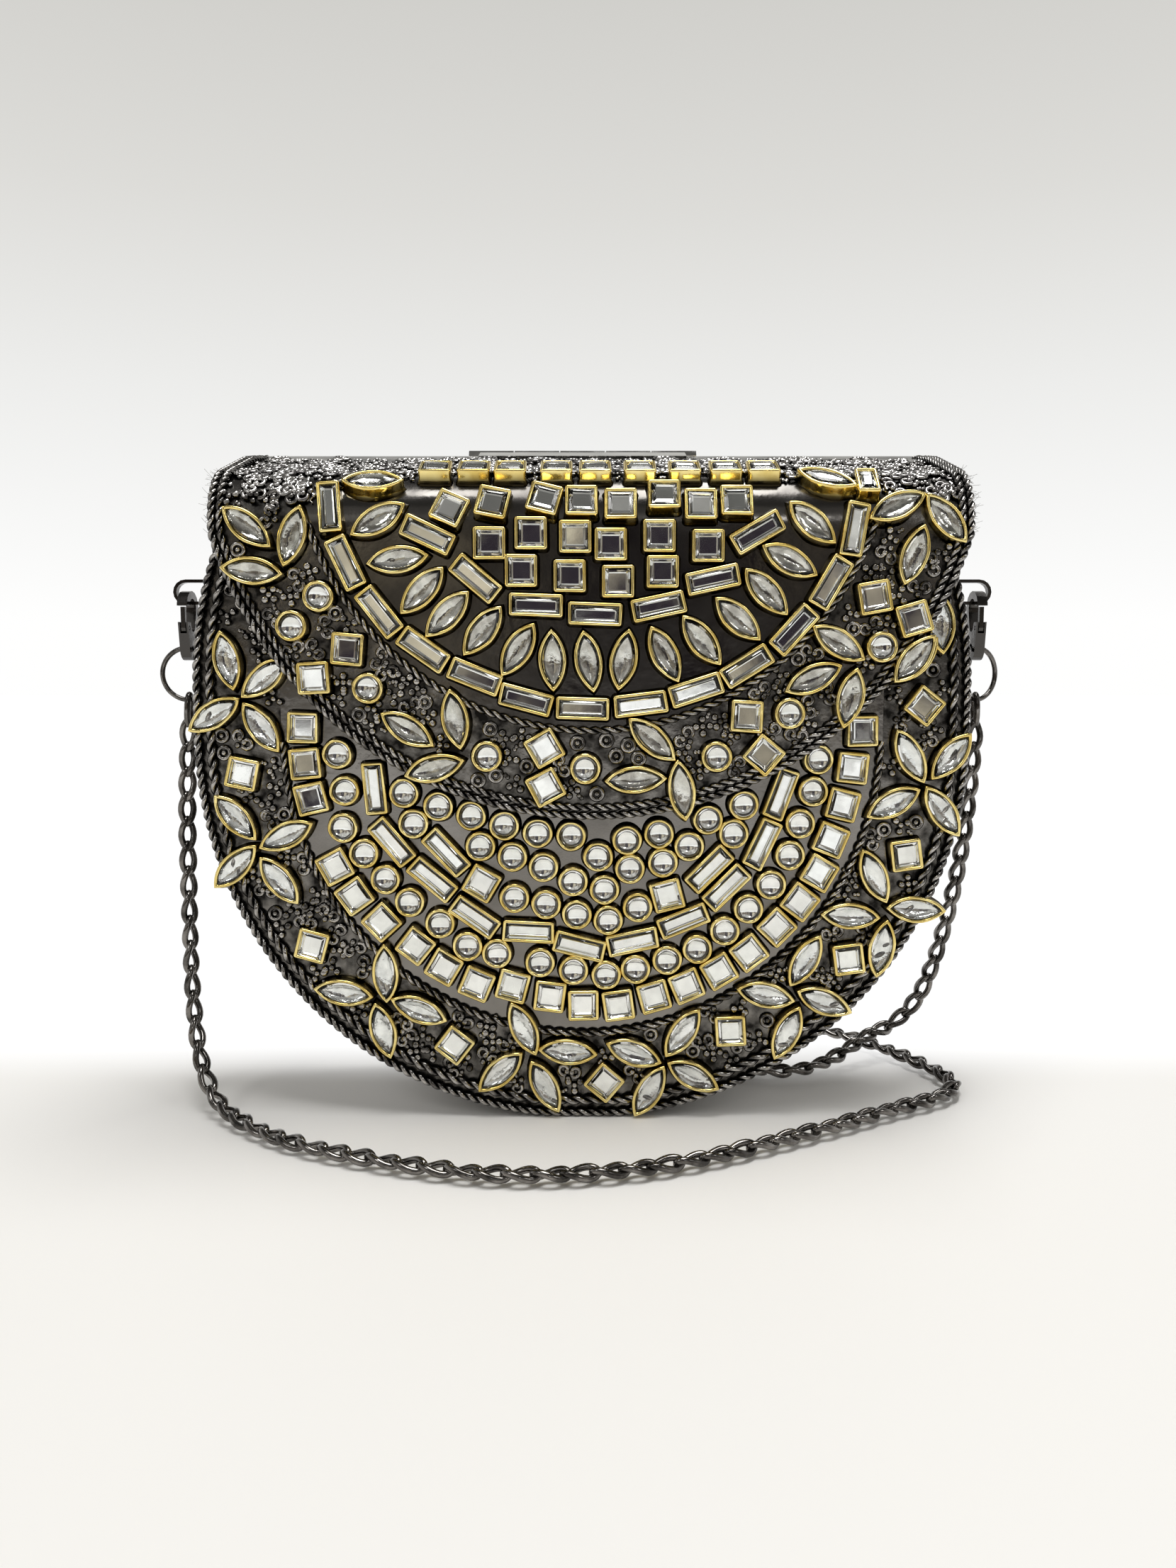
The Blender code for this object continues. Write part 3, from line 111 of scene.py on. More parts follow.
# Chain strap
RING_RADIUS = 0.0073
RING_WIRE = 0.0007
LINK_PITCH = 0.00705
LINK_HALF_LENGTH = 0.0043
LINK_HALF_WIDTH = 0.00170
LINK_WIRE = 0.00090
LINK_TWIST = 56                 # degrees between a link's ends and its middle
HANGS_ABOVE = 0.020             # links above this height hang
LYING_SPAN = 0.014              # and lie flat this much below it
LEFT_SWING = math.radians(60)   # how far the links on the left are turned
UNEVEN_SWING = math.radians(9)
UNEVEN_ROLL = math.radians(13)  # of lying links
CHAIN_ROUTE = (
    (-0.1112, 0.0032, 0.1141), (-0.1120, 0.0032, 0.1000), (-0.1125, 0.0020, 0.0800),
    (-0.1120, 0.0000, 0.0550), (-0.1105, -0.0040, 0.0320), (-0.1065, -0.0110, 0.0140),
    (-0.0990, -0.0200, 0.0048), (-0.0860, -0.0330, 0.0030), (-0.0684, -0.0455, 0.0029),
    (-0.0374, -0.0580, 0.0029), (-0.0104, -0.0625, 0.0029), (0.0226, -0.0560, 0.0029),
    (0.0606, -0.0355, 0.0029), (0.0850, -0.0200, 0.0029), (0.0980, -0.0125, 0.0029),
    (0.1065, -0.0035, 0.0029), (0.1065, 0.0080, 0.0029), (0.1015, 0.0205, 0.0029), (0.0945, 0.0330, 0.0029),
    (0.0860, 0.0450, 0.0029), (0.0730, 0.0530, 0.0029), (0.0560, 0.0500, 0.0029), (0.0455, 0.0370, 0.0029),
    (0.0450, 0.0220, 0.0029), (0.0540, 0.0110, 0.0029), (0.0670, 0.0120, 0.0031), (0.0790, 0.0200, 0.0050),
    (0.0890, 0.0270, 0.0088), (0.0980, 0.0320, 0.0110), (0.1055, 0.0300, 0.0210), (0.1095, 0.0220, 0.0420),
    (0.1115, 0.0120, 0.0700), (0.1115, 0.0045, 0.0980), (0.1112, 0.0032, 0.1141),
)

# Stones: across and up in thousandths of FIELD_RADIUS, and the clockwise turn of the long side in degrees
STONE_SIZES = {
    "square": (0.0084, 0.0084),
    "round": (0.0081, 0.0081),
    "baguette": (0.0140, 0.0060),
    "marquise": (0.0164, 0.0073),
    "short baguette": (0.0086, 0.0058),
}
FRONT_STONES = {
    "square": (
        (-738, 1066, 92), (-734, 970, 85), (-720, 877, 77), (-660, 694, 62), (-609, 615, 55),
        (-538, 543, 47), (-448, 478, 38), (-372, 420, 31), (-284, 374, 23), (-187, 368, 15), (-87, 339, 7),
        (4, 315, -1), (98, 315, -8), (194, 339, -16), (282, 368, -23), (369, 409, -31), (449, 460, -38),
        (523, 530, -46), (584, 598, -53), (634, 677, -60), (664, 766, -68), (694, 860, -76),
        (718, 959, -84), (742, 1057, -91), (-269, 649, 30), (228, 616, -15), (-902, 944, 12),
        (-727, 478, 15), (-346, 205, 38), (60, 100, 40), (402, 244, -3), (718, 442, -8), (866, 725, -8),
        (904, 1123, 38),
    ),
    "round": (
        (-648, 996), (-631, 898), (-637, 799), (-582, 730), (-526, 660), (-462, 598), (-381, 540),
        (-308, 478), (-229, 458), (-113, 433), (-23, 412), (65, 399), (144, 415), (229, 440), (310, 470),
        (383, 520), (446, 580), (506, 645), (555, 725), (581, 810), (614, 896), (626, 982), (-181, 609),
        (-96, 592), (-14, 564), (70, 549), (149, 584), (-473, 892), (-382, 857), (-295, 832), (-207, 805),
        (-118, 785), (-29, 777), (120, 766), (205, 783), (335, 821), (430, 860), (-449, 810), (-271, 749),
        (-186, 721), (-103, 693), (43, 721), (128, 688), (216, 705), (286, 749), (404, 783), (-24, 654),
        (60, 632),
    ),
    "baguette": (
        (-551, 904, 85), (-507, 760, 50), (-400, 660, 40), (-288, 558, 35), (-144, 518, 3), (-7, 478, 14),
        (136, 490, -12), (272, 547, -22), (386, 638, -45), (480, 755, -65), (528, 890, -70),
        (-363, 732, 47), (340, 688, -45),
    ),
    "marquise": (
        (-934, 1242, 78), (-836, 1197, -40), (-972, 1100, -32), (-848, 1066, 55), (-923, 827, 48),
        (-788, 778, -25), (-927, 694, -45), (-810, 657, 52), (-530, 403, 88), (-644, 350, 8),
        (-440, 302, 22), (-539, 245, 75), (-158, 250, 65), (-222, 130, -42), (-101, 90, 62), (-38, 186, 5),
        (272, 239, -55), (140, 183, 20), (182, 76, -60), (302, 119, 28), (601, 438, -60), (496, 344, 12),
        (654, 325, 22), (555, 239, -65), (782, 669, 65), (895, 578, 3), (720, 560, 3), (806, 471, -80),
        (870, 990, 62), (979, 990, -50), (828, 865, -28), (959, 843, 55), (943, 1338, 86), (880, 1244, -48),
    ),
}
LID_STONES = {
    "square": (
        (-155, 1470), (-31, 1457), (93, 1443), (207, 1468), (-236, 1540), (-130, 1565), (-17, 1556),
        (74, 1537), (198, 1558), (323, 1533), (-339, 1624, 25), (-228, 1637, 12), (-96, 1646, 15),
        (-1, 1640), (99, 1633), (211, 1654), (304, 1632), (396, 1640), (-384, 1720), (-282, 1720),
        (-187, 1720), (-67, 1720), (35, 1720), (152, 1720), (268, 1720), (375, 1720), (474, 1720),
        (-604, 1270, 5), (-693, 1197, -3), (-97, 1015, -30), (-94, 914, -28), (427, 1098, 3),
        (472, 998, 40), (752, 1403, -10), (854, 1348, -17),
    ),
    "round": (
        (-676, 1405), (-747, 1330), (-553, 1170), (-247, 994), (9, 962), (350, 993), (538, 1105),
        (773, 1276),
    ),
    "baguette": (
        (-647, 1630, 84), (-604, 1490, 65), (-520, 1366, 52), (-408, 1270, 35), (-276, 1200, 22),
        (-145, 1140, 15), (2, 1118, 2), (152, 1130, -7), (295, 1166, -18), (425, 1227, -32),
        (545, 1320, -48), (638, 1440, -60), (698, 1574, -80), (-118, 1383, 2), (34, 1360, 2),
        (197, 1380, -12), (-272, 1450, 40), (336, 1448, -12), (-394, 1560, 25), (449, 1566, -30),
    ),
    "marquise": (
        (-520, 1597, -30), (-471, 1498, -8), (-409, 1420, -47), (-345, 1360, -46), (-255, 1318, -52),
        (-164, 1270, -58), (-76, 1242, 88), (17, 1240, 80), (108, 1243, -80), (213, 1258, 63),
        (308, 1293, 52), (400, 1348, 43), (472, 1417, 47), (531, 1496, 28), (588, 1590, 42),
        (-856, 1580, 40), (-740, 1558, -74), (-845, 1470, 6), (806, 1628, -25), (932, 1600, 52),
        (850, 1510, -72), (-452, 1064, 32), (-328, 1090, 80), (-384, 963, -15), (182, 1038, 42),
        (139, 933, -3), (260, 905, 82), (661, 1286, 33), (597, 1195, -25), (694, 1146, -78),
        (857, 1245, -50), (-540, 1684), (632, 1692, 25),
    ),
    "short baguette": (
        (736, 1686, 90),
    ),
}


# Collecting points and faces


def turns(count):
    return [2 * math.pi * i / count for i in range(count)]


def hoop(middle, side, up, radius, sides):
    return [middle + (side * math.cos(t) + up * math.sin(t)) * radius for t in turns(sides)]


def stand(name, data):
    made = bpy.data.objects.new(name, data)
    bpy.context.scene.collection.objects.link(made)
    return made


class Form:
    """Points and faces of one piece, and how far each point rises from its dark foot: a share of painted
    shade, 0 for the material's dark foot colour, 1 for its own tone.
    """

    def __init__(self):
        self.points = []
        self.faces = []
        self.rise = []

    def loft(self, rings, cap_first=False, cap_last=False, loop=False, closed=True, rises=None):
        """Skin over rings that have the same number of points."""
        start = len(self.points)
        count = len(rings[0])
        for index, ring in enumerate(rings):
            self.points.extend(tuple(point) for point in ring)
            self.rise.extend([rises[index] if rises else 1.0] * count)
        pairs = [(i, i + 1) for i in range(len(rings) - 1)]
        if loop:
            pairs.append((len(rings) - 1, 0))
        for low, high in pairs:
            a, b = start + low * count, start + high * count
            for j in range(count if closed else count - 1):
                k = (j + 1) % count
                self.faces.append((a + j, a + k, b + k, b + j))
        if cap_first:
            self.faces.append(tuple(reversed(range(start, start + count))))
        if cap_last:
            last = start + (len(rings) - 1) * count
            self.faces.append(tuple(range(last, last + count)))

    def tube(self, path, radius, sides=8, loop=False, height_shade=None):
        """A round wire. The last argument holds (base, out of the sheet, reach) for each ring: painted shade
        darkens the wire's low side towards the sheet, and its high side keeps its bright tone as a painted
        highlight.
        """
        start = len(self.points)
        rings = [hoop(place, *cross, radius, sides) for place, cross in zip(path, carried_frames(path, loop))]
        self.loft(rings, not loop, not loop, loop)
        for index, (base, out, reach) in enumerate(height_shade or ()):
            for spot in range(start + index * sides, start + (index + 1) * sides):
                height = (Vector(self.points[spot]) - base).dot(out) / reach
                self.rise[spot] = min(1.0, max(0.0, (height - 0.20) / 0.75))

    def turned(self, profile, middle, out, sides=24, rises=None):
        """A round piece: profile holds (radius, height along out)."""
        side = out.orthogonal().normalized()
        up = out.cross(side)
        rings = [hoop(middle + out * height, side, up, radius, sides) for radius, height in profile]
        self.loft(rings, True, True, rises=rises)

    def bead(self, middle, out, radius, sides=8):
        """A granule: a ball sunk a little into the sheet."""
        levels = (-0.5, 0.0, 0.5, 0.86)
        profile = [(math.sqrt(1 - level * level) * radius, level * radius) for level in levels]
        # Painted shade: the lower half of the granule takes the dark foot colour, the top its own tone.
        self.turned(profile, middle, out, sides, (0.0, 0.0, 0.35, 1.0))

    def piece(self, name, body, finish, stands_for=(), crease=35, slot=None):
        mesh = bpy.data.meshes.new(name)
        mesh.from_pydata(self.points, [], self.faces)
        mesh.validate()
        made = stand(name, mesh)
        # the rise share sets the painted shade in the plating's colour
        mesh.attributes.new("rise", "FLOAT", "POINT").data.foreach_set("value", self.rise)
        mesh.materials.append(finish)
        mesh.shade_smooth()
        mesh.set_sharp_from_angle(angle=math.radians(crease))
        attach(made, body)
        if stands_for:
            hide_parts(*stands_for)
        return made


def carried_frames(path, loop=False):
    """Two cross directions at each point of a path, carried along it without twist."""
    count = len(path)
    frames = []
    side = None
    for i in range(count):
        after = path[(i + 1) % count] if loop or i < count - 1 else path[i]
        before = path[i - 1] if loop or i > 0 else path[i]
        along = (after - before).normalized()
        side = along.orthogonal() if side is None else side - along * side.dot(along)
        side = side.normalized()
        frames.append((side, along.cross(side)))
    return frames


def evenly(points, step):
    """(place, direction, distance, point before, share to the next) at even steps along a polyline."""
    lengths = [0.0]
    for start, end in zip(points, points[1:]):
        lengths.append(lengths[-1] + (end - start).length)
    count = max(2, round(lengths[-1] / step))
    rows = []
    spot = 0
    for i in range(count + 1):
        goal = lengths[-1] * i / count
        while spot < len(points) - 2 and lengths[spot + 1] < goal:
            spot += 1
        start, end = points[spot], points[spot + 1]
        share = (goal - lengths[spot]) / (lengths[spot + 1] - lengths[spot])
        rows.append((start.lerp(end, share), (end - start).normalized(), goal, spot, share))
    return rows


# Surfaces of the bag


def outline_half(inset, top, steps=28):
    """Right half of the body's outline from the foot to a height, as (x, z)."""
    radius = OUTER_RADIUS - inset
    foot = math.sqrt(radius**2 - (CENTRE_HEIGHT - inset) ** 2)
    start = math.atan2(foot, CENTRE_HEIGHT - inset)
    points = [(foot, inset)]
    for step in range(1, steps + 1):
        angle = start + (math.pi / 2 - start) * step / steps
        points.append((radius * math.sin(angle), CENTRE_HEIGHT - radius * math.cos(angle)))
    for step in range(7):
        angle = SHOULDER_ANGLE * step / 6
        points.append((radius * math.cos(angle), SHOULDER_BASE + radius * math.sin(angle)))
    points.append((radius * math.cos(SHOULDER_ANGLE), top))
    return points


def outline_whole(inset, top, steps=28):
    right = outline_half(inset, top, steps)
    return [(-x, z) for x, z in reversed(right)] + right


def mouth_height(y):
    """Height of the sloping line that the body's walls end at."""
    radius = MOUTH_BEND_RADIUS
    middle_y = FRONT_FACE + radius
    lift = LID_BEND_RADIUS - LID_UNDERSIDE - radius
    across = middle_y - LID_FACE - LID_BEND_RADIUS
    middle_z = LID_BEND_HEIGHT + (lift + math.sin(LID_SLOPE) * across) / math.cos(LID_SLOPE)
    turn = middle_y - radius * math.sin(LID_SLOPE)
    if y <= turn:
        return middle_z + math.sqrt(max(0.0, radius**2 - (y - middle_y) ** 2))
    return middle_z + radius * math.cos(LID_SLOPE) + (y - turn) * math.tan(LID_SLOPE)


def lid_point(run):
    """(y, z, lean) of the lid's outer face after a run up its front, round its bend and along its top."""
    if run <= LID_BEND_HEIGHT:
        return LID_FACE, run, 0.0
    full = math.pi / 2 - LID_SLOPE
    lean = min((run - LID_BEND_HEIGHT) / LID_BEND_RADIUS, full)
    beyond = max(0.0, run - FULL_RUN)
    y = LID_FACE + LID_BEND_RADIUS * (1 - math.cos(lean)) + beyond * math.cos(LID_SLOPE)
    z = LID_BEND_HEIGHT + LID_BEND_RADIUS * math.sin(lean) + beyond * math.sin(LID_SLOPE)
    return y, z, lean


REAR_RUN = FULL_RUN + (BACK_FACE - lid_point(FULL_RUN)[0]) / math.cos(LID_SLOPE)


def lid_spot(x, run, off):
    """A point off the lid's outer face, with x from the lid's own middle."""
    y, z, lean = lid_point(run)
    return Vector((LID_SHIFT + x, y - off * math.cos(lean), z + off * math.sin(lean)))


def surface_frame(x, y, z, lean):
    """Axes on a sheet: right, up along the sheet, and out of it."""
    up = Vector((0, math.sin(lean), math.cos(lean)))
    out = Vector((0, -math.cos(lean), math.sin(lean)))
    return Matrix.Translation((x, y, z)) @ Matrix((Vector((1, 0, 0)), up, out)).transposed().to_4x4()


def front_place(across, up, span):
    return surface_frame(across * FIELD_RADIUS, FRONT_FACE, up * FIELD_RADIUS, 0.0)


def lid_run(up):
    """How far up the lid's outer face a height is."""
    height = up * FIELD_RADIUS
    lift = max(0.0, height - LID_BEND_HEIGHT) / LID_BEND_RADIUS
    return height if lift == 0.0 else LID_BEND_HEIGHT + LID_BEND_RADIUS * math.asin(min(lift, 1.0))


def lid_place(across, up, span):
    """A frame on the lid at a height. On the bend a stone lies along the chord of its span."""
    x = across * FIELD_RADIUS
    height = up * FIELD_RADIUS
    if height + span <= LID_BEND_HEIGHT:
        return surface_frame(x, LID_FACE, height, 0.0)
    run = lid_run(up)
    low = lid_point(run - span)
    high = lid_point(run + span)
    lean = math.atan2(high[0] - low[0], high[1] - low[1])
    seat = Vector((x, (low[0] + high[0]) / 2, (low[1] + high[1]) / 2))
    seat += Vector((0, -math.cos(lean), math.sin(lean))) * min(BEND_LIFT, BEND_LIFT * lean)
    return surface_frame(*seat, lean)


def lid_run_place(x, run):
    return surface_frame(x, *lid_point(run))


def front_run_place(x, run):
    return surface_frame(x, FRONT_FACE, run, 0.0)


# Stones


def stones_of(tables):
    """(kind, across, up, turn) of each stone, with across and up as shares of FIELD_RADIUS."""
    for kind, rows in tables.items():
        for across, up, *turn in rows:
            yield kind, across / 1000, up / 1000, turn[0] if turn else 0


def stone_outline(kind, inset, count=14):
    """Outline of a stone moved in by the inset, with the same number of points at every inset."""
    length, width = STONE_SIZES[kind]
    if kind == "round":
        radius = length / 2 - inset
        return [(radius * math.cos(t), radius * math.sin(t)) for t in turns(2 * count)]
    if kind == "marquise":
        half, rise = length / 2, width / 2
        radius = (half**2 + rise**2) / (2 * rise)
        drop = radius - rise
        radius -= inset
        sweep = math.acos(drop / radius) * BLUNT_TIP
        side = [-sweep + 2 * sweep * i / (count - 1) for i in range(count)]
        top = [(radius * math.sin(a), radius * math.cos(a) - drop) for a in side]
        return [(x, -y) for x, y in top] + [(-x, y) for x, y in top]
    corner = max(STONE_CORNER - inset, LEAST_CORNER)
    half, rise = length / 2 - inset - corner, width / 2 - inset - corner
    points = []
    for index, (mx, my) in enumerate(((half, rise), (-half, rise), (-half, -rise), (half, -rise))):
        for step in range(4):
            angle = math.pi / 2 * (index + step / 3)
            points.append((mx + corner * math.cos(angle), my + corner * math.sin(angle)))
    return points


def dish(lift):
    """A shallow bowl under a round stone, from its edge to its middle, as (inset, depth)."""
    radius = STONE_SIZES["round"][0] / 2
    tilts = [math.radians(angle) for angle in DISH_ANGLES]
    return [(radius - DISH_RADIUS * math.sin(tilt), 0.00115 - lift - DISH_RADIUS * (1 - math.cos(tilt)))
            for tilt in tilts]


# Cut glass and the foil under it, as (inset, depth below the rim) and how unevenly the foil is crumpled
GLASS_LEVELS = {
    "round": [*reversed(dish(0.00003)), (0.00097, 0.00045), (0.00110, 0.00027), (0.0015, 0.00011),
              (0.0022, 0.0), (0.0030, -0.00006), (0.0036, -0.00008)],
    "marquise": [(0.0026, 0.00122), (0.0017, 0.0010), (0.00097, 0.0005), (0.00097, 0.00042), (0.0015, 0.0001),
                 (0.0024, -0.00012)],
    "step cut": [(0.00205, 0.00122), (0.00097, 0.0005), (0.00097, 0.00042), (0.0020, -0.00008)],
}
FOIL_LEVELS = {
    "round": [(*level, 0.0) for level in dish(0.0)],
    "marquise": [(0.00095, 0.00055, 0.0), (0.0016, 0.00112, 0.00006), (0.0024, 0.00132, 0.00009),
                 (0.0032, 0.0014, 0.00006)],
    "step cut": [(0.00095, 0.00054, 0.0), (0.00203, 0.00126, 0.0)],
}


class Stone:
    """A stone in its bezel: where it sits, how crooked its glass is and how uneven its hand-bent strip is."""

    def __init__(self, kind, seat, top, dice):
        self.kind = kind
        self.cut = kind if kind in GLASS_LEVELS else "step cut"
        self.seat = seat
        self.top = top
        self.dice = dice
        self.waves = [(order, dice.uniform(0.003, 0.011), dice.uniform(0, 2 * math.pi))
                      for order in (2, 3, 5)]
        self.loose = seat
        for axis in "XY":
            tilt = math.radians(dice.uniform(-STONE_TILT, STONE_TILT))
            self.loose = self.loose @ Matrix.Rotation(tilt, 4, axis)

    def ring(self, inset, depth, place, count=14, uneven=0.0):
        """The outline moved in by the inset, at a depth below the bezel's rim."""
        points = []
        for x, y in stone_outline(self.kind, inset, count):
            turn = math.atan2(y, x)
            grow = 1 + sum(size * math.sin(order * turn + start) for order, size, start in self.waves)
            height = self.top - depth + (self.dice.uniform(-uneven, uneven) if uneven else 0.0)
            points.append(place @ Vector((x * grow, y * grow, height)))
        return points

    def add_bezel(self, form):
        """A strip-metal cup: flared foot, upright wall, rolled rim and the inside wall down to the stone."""
        # Rows are (inset, depth below the rim, rise share). The share is painted shade: dark at the foot by
        # the sheet and down the inside wall by the stone, full tone on the rim.
        profile = (
            (-0.00055, self.top + 0.0006, 0.0), (-0.00055, self.top - 0.00008, 0.0),
            (-0.00012, self.top - 0.0005, 0.05), (0.00002, self.top - 0.0012, 0.30),
            (0.00003, self.top * 0.5, 0.55), (0.0, 0.0008, 0.85), (0.00002, 0.0004, 1.0),
            (0.00020, 0.00009, 1.0), (0.00048, 0.0, 1.0), (0.00076, 0.00012, 1.0),
            (0.00092, 0.00040, 0.8), (0.00098, 0.0008, 0.4), (0.00100, 0.0022, 0.0),
        )
        rings = [self.ring(inset, depth, self.seat) for inset, depth, rise in profile]
        form.loft(rings, rises=[rise for inset, depth, rise in profile])

    def add_glass(self, form):
        """The cut glass: step-cut squares and baguettes, domed rounds, and faceted marquises."""
        form.loft([self.ring(*level, self.loose) for level in GLASS_LEVELS[self.cut]], True, True)

    def add_foil(self, form):
        """Silver foil under the glass: a tray with sloping sides, a bowl, or a marquise's crumpled pan."""
        count = 8 if self.cut == "marquise" else 14
        levels = FOIL_LEVELS[self.cut]
        rings = [self.ring(inset, depth, self.loose, count, uneven) for inset, depth, uneven in levels]
        form.loft(rings, cap_last=True)


def stone_span(kind, turn):
    spin = math.radians(-turn)
    return max(x * math.sin(spin) + y * math.cos(spin) for x, y in stone_outline(kind, 0.0))


# Shader nodes


def fill(node, inputs):
    """Each input is a value to set, or another node's output to link."""
    for name, value in inputs.items():
        if isinstance(value, bpy.types.NodeSocket):
            node.id_data.links.new(value, node.inputs[name])
        else:
            node.inputs[name].default_value = value


def add_node(tree, kind, inputs=None, **settings):
    """A shader node with its settings and inputs. Gives back its outputs."""
    made = tree.nodes.new(kind)
    for name, value in settings.items():
        setattr(made, name, value)
    fill(made, inputs or {})
    return made.outputs


def noise(tree, where, scale, detail=2.0):
    return add_node(tree, "ShaderNodeTexNoise", {"Vector": where, "Scale": scale, "Detail": detail})["Fac"]


def between(tree, value, low, high, curve="LINEAR"):
    """0 to 1 while a value goes from low to high."""
    ends = {"Value": value, "From Min": low, "From Max": high}
    return add_node(tree, "ShaderNodeMapRange", ends, interpolation_type=curve)["Result"]


def mixed(tree, share, *ends):
    """A colour between two, each given as a colour or as another node's output."""
    first, second = [end if isinstance(end, bpy.types.NodeSocket) else (*end, 1.0) for end in ends]
    given = {"Factor": share, "A": first, "B": second}
    return add_node(tree, "ShaderNodeMix", given, data_type="RGBA")["Result"]


def colour_ramp(tree, value, stops):
    ramp = tree.nodes.new("ShaderNodeValToRGB")
    for position, _ in stops[2:]:
        ramp.color_ramp.elements.new(position)
    for element, (position, colour) in zip(ramp.color_ramp.elements, stops):
        element.position = position
        element.color = (*colour, 1)
    fill(ramp, {"Fac": value})
    return ramp.outputs["Color"]


# Materials


def new_material(name):
    made = bpy.data.materials.new(name)
    made.use_nodes = True
    tree = made.node_tree
    return made, tree, tree.nodes["Principled BSDF"], add_node(tree, "ShaderNodeTexCoord")["Object"]


def patina_and_shade_group():
    """Uneven plating: a mask of rubbed and dull places and a fine height for scratches. The darker foot is
    painted shade: towards low values of the rise attribute the colour fades to the Foot colour.
    """
    tree = bpy.data.node_groups.new("plating_patina_and_shade", "ShaderNodeTree")
    colour, number = "NodeSocketColor", "NodeSocketFloat"
    for name, kind, value in (
        ("Bright", colour, (0.5, 0.5, 0.5, 1)), ("Dull", colour, (0.1, 0.1, 0.1, 1)),
        ("Foot", colour, (0.02, 0.02, 0.02, 1)), ("Smooth Roughness", number, 0.2),
        ("Dull Roughness", number, 0.4), ("Patch Scale", number, 90.0), ("Scratch Scale", number, 700.0),
    ):
        tree.interface.new_socket(name=name, in_out="INPUT", socket_type=kind).default_value = value
    for name, kind in (("Color", colour), ("Roughness", number), ("Height", number)):
        tree.interface.new_socket(name=name, in_out="OUTPUT", socket_type=kind)
    given = add_node(tree, "NodeGroupInput")
    where = add_node(tree, "ShaderNodeTexCoord")["Object"]
    dull = between(tree, noise(tree, where, given["Patch Scale"], 4.0), 0.36, 0.64)
    rise = add_node(tree, "ShaderNodeAttribute", attribute_name="rise")["Fac"]
    tone = mixed(tree, dull, given["Bright"], given["Dull"])
    rough = {"Factor": dull, "A": given["Smooth Roughness"], "B": given["Dull Roughness"]}
    add_node(tree, "NodeGroupOutput", {
        # painted shade: low rise values take the dark Foot colour
        "Color": mixed(tree, between(tree, rise, 0.0, 0.9), given["Foot"], tone),
        "Roughness": add_node(tree, "ShaderNodeMix", rough)["Result"],
        "Height": noise(tree, where, given["Scratch Scale"], 3.0),
    })
    return tree


PATINA_AND_SHADE = patina_and_shade_group()


def plated(name, colours, roughness, patch=90.0, scratch=700.0, bump=0.00002):
    """A plated metal, with its bright, dull and foot colours and its smooth and dull roughness. The foot
    colour is painted shade on the low points of a piece.
    """
    made = bpy.data.materials.new(name)
    made.use_nodes = True
    tree = made.node_tree
    bright, dull, foot = [(*colour, 1.0) for colour in colours]
    patina_and_shade = add_node(tree, "ShaderNodeGroup", {
        "Bright": bright, "Dull": dull, "Foot": foot, "Smooth Roughness": roughness[0],
        "Dull Roughness": roughness[1], "Patch Scale": patch, "Scratch Scale": scratch,
    }, node_tree=PATINA_AND_SHADE)
    relief = add_node(tree, "ShaderNodeBump", {"Distance": bump, "Height": patina_and_shade["Height"]})
    fill(tree.nodes["Principled BSDF"], {
        "Metallic": 1.0, "Base Color": patina_and_shade["Color"], "Roughness": patina_and_shade["Roughness"],
        "Normal": relief["Normal"],
    })
    return made


def clear_glass(name, tint):
    made, tree, shader, where = new_material(name)
    tone = mixed(tree, noise(tree, where, 60.0), tint, (1.0, 1.0, 1.0))
    fill(shader, {"Roughness": 0.01, "Transmission Weight": 1.0, "IOR": 1.5, "Base Color": tone})
    return made


def woven(name, dark, light, sheen, relief_height):
    """Brushed cloth or loose thread: uneven tone, a soft sheen and a fine nap."""
    made, tree, shader, where = new_material(name)
    nap = noise(tree, where, 1400.0, 5.0)
    matt = {"Value": nap, "To Min": 0.75, "To Max": 1.0}
    fill(shader, {
        "Sheen Weight": sheen,
        "Sheen Roughness": 0.45,
        "Base Color": mixed(tree, noise(tree, where, 40.0), dark, light),
        "Roughness": add_node(tree, "ShaderNodeMapRange", matt)["Result"],
        "Normal": add_node(tree, "ShaderNodeBump", {"Distance": relief_height, "Height": nap})["Normal"],
    })
    return made


# The foot colours below are painted shade at the low points of bezels, granules, wires and ropes; on the
# solid model's pieces, which carry no rise attribute, the foot colour is their whole colour.
gunmetal = plated("gunmetal_sheet", ((0.235, 0.222, 0.204), (0.175, 0.165, 0.15), (0.10, 0.10, 0.10)),
                  (0.12, 0.22), 60.0, 260.0, 0.00008)
polished_sheet = plated("polished_gunmetal", ((0.21, 0.20, 0.185), (0.165, 0.157, 0.145), (0.10, 0.10, 0.10)),
                        (0.12, 0.20), 22.0, 420.0, 0.00003)
field_metal = plated("dark_mottled_field", ((0.19, 0.18, 0.165), (0.014, 0.013, 0.012), (0.02, 0.02, 0.02)),
                     (0.16, 0.34), 230.0, 420.0, 0.00010)
# a darker copy of the body's gunmetal for the lid: painted shade
shaded_lid_gunmetal = plated("shaded_lid_gunmetal", ((0.135, 0.127, 0.117), (0.06, 0.056, 0.052), (0.06, 0.06, 0.06)),
                      (0.12, 0.26), 60.0, 260.0, 0.00008)
gold = plated("gold_bezel", ((0.97, 0.81, 0.35), (0.76, 0.57, 0.17), (0.022, 0.017, 0.009)), (0.12, 0.25),
              160.0, 500.0, 0.00004)
wire_metal = plated("black_nickel_wire", ((0.52, 0.50, 0.475), (0.10, 0.094, 0.088), (0.006, 0.006, 0.006)),
                    (0.07, 0.18), 300.0)
filigree_metal = plated("blackened_filigree",
                        ((0.46, 0.44, 0.415), (0.07, 0.066, 0.062), (0.005, 0.005, 0.005)),
                        (0.06, 0.18), 300.0)
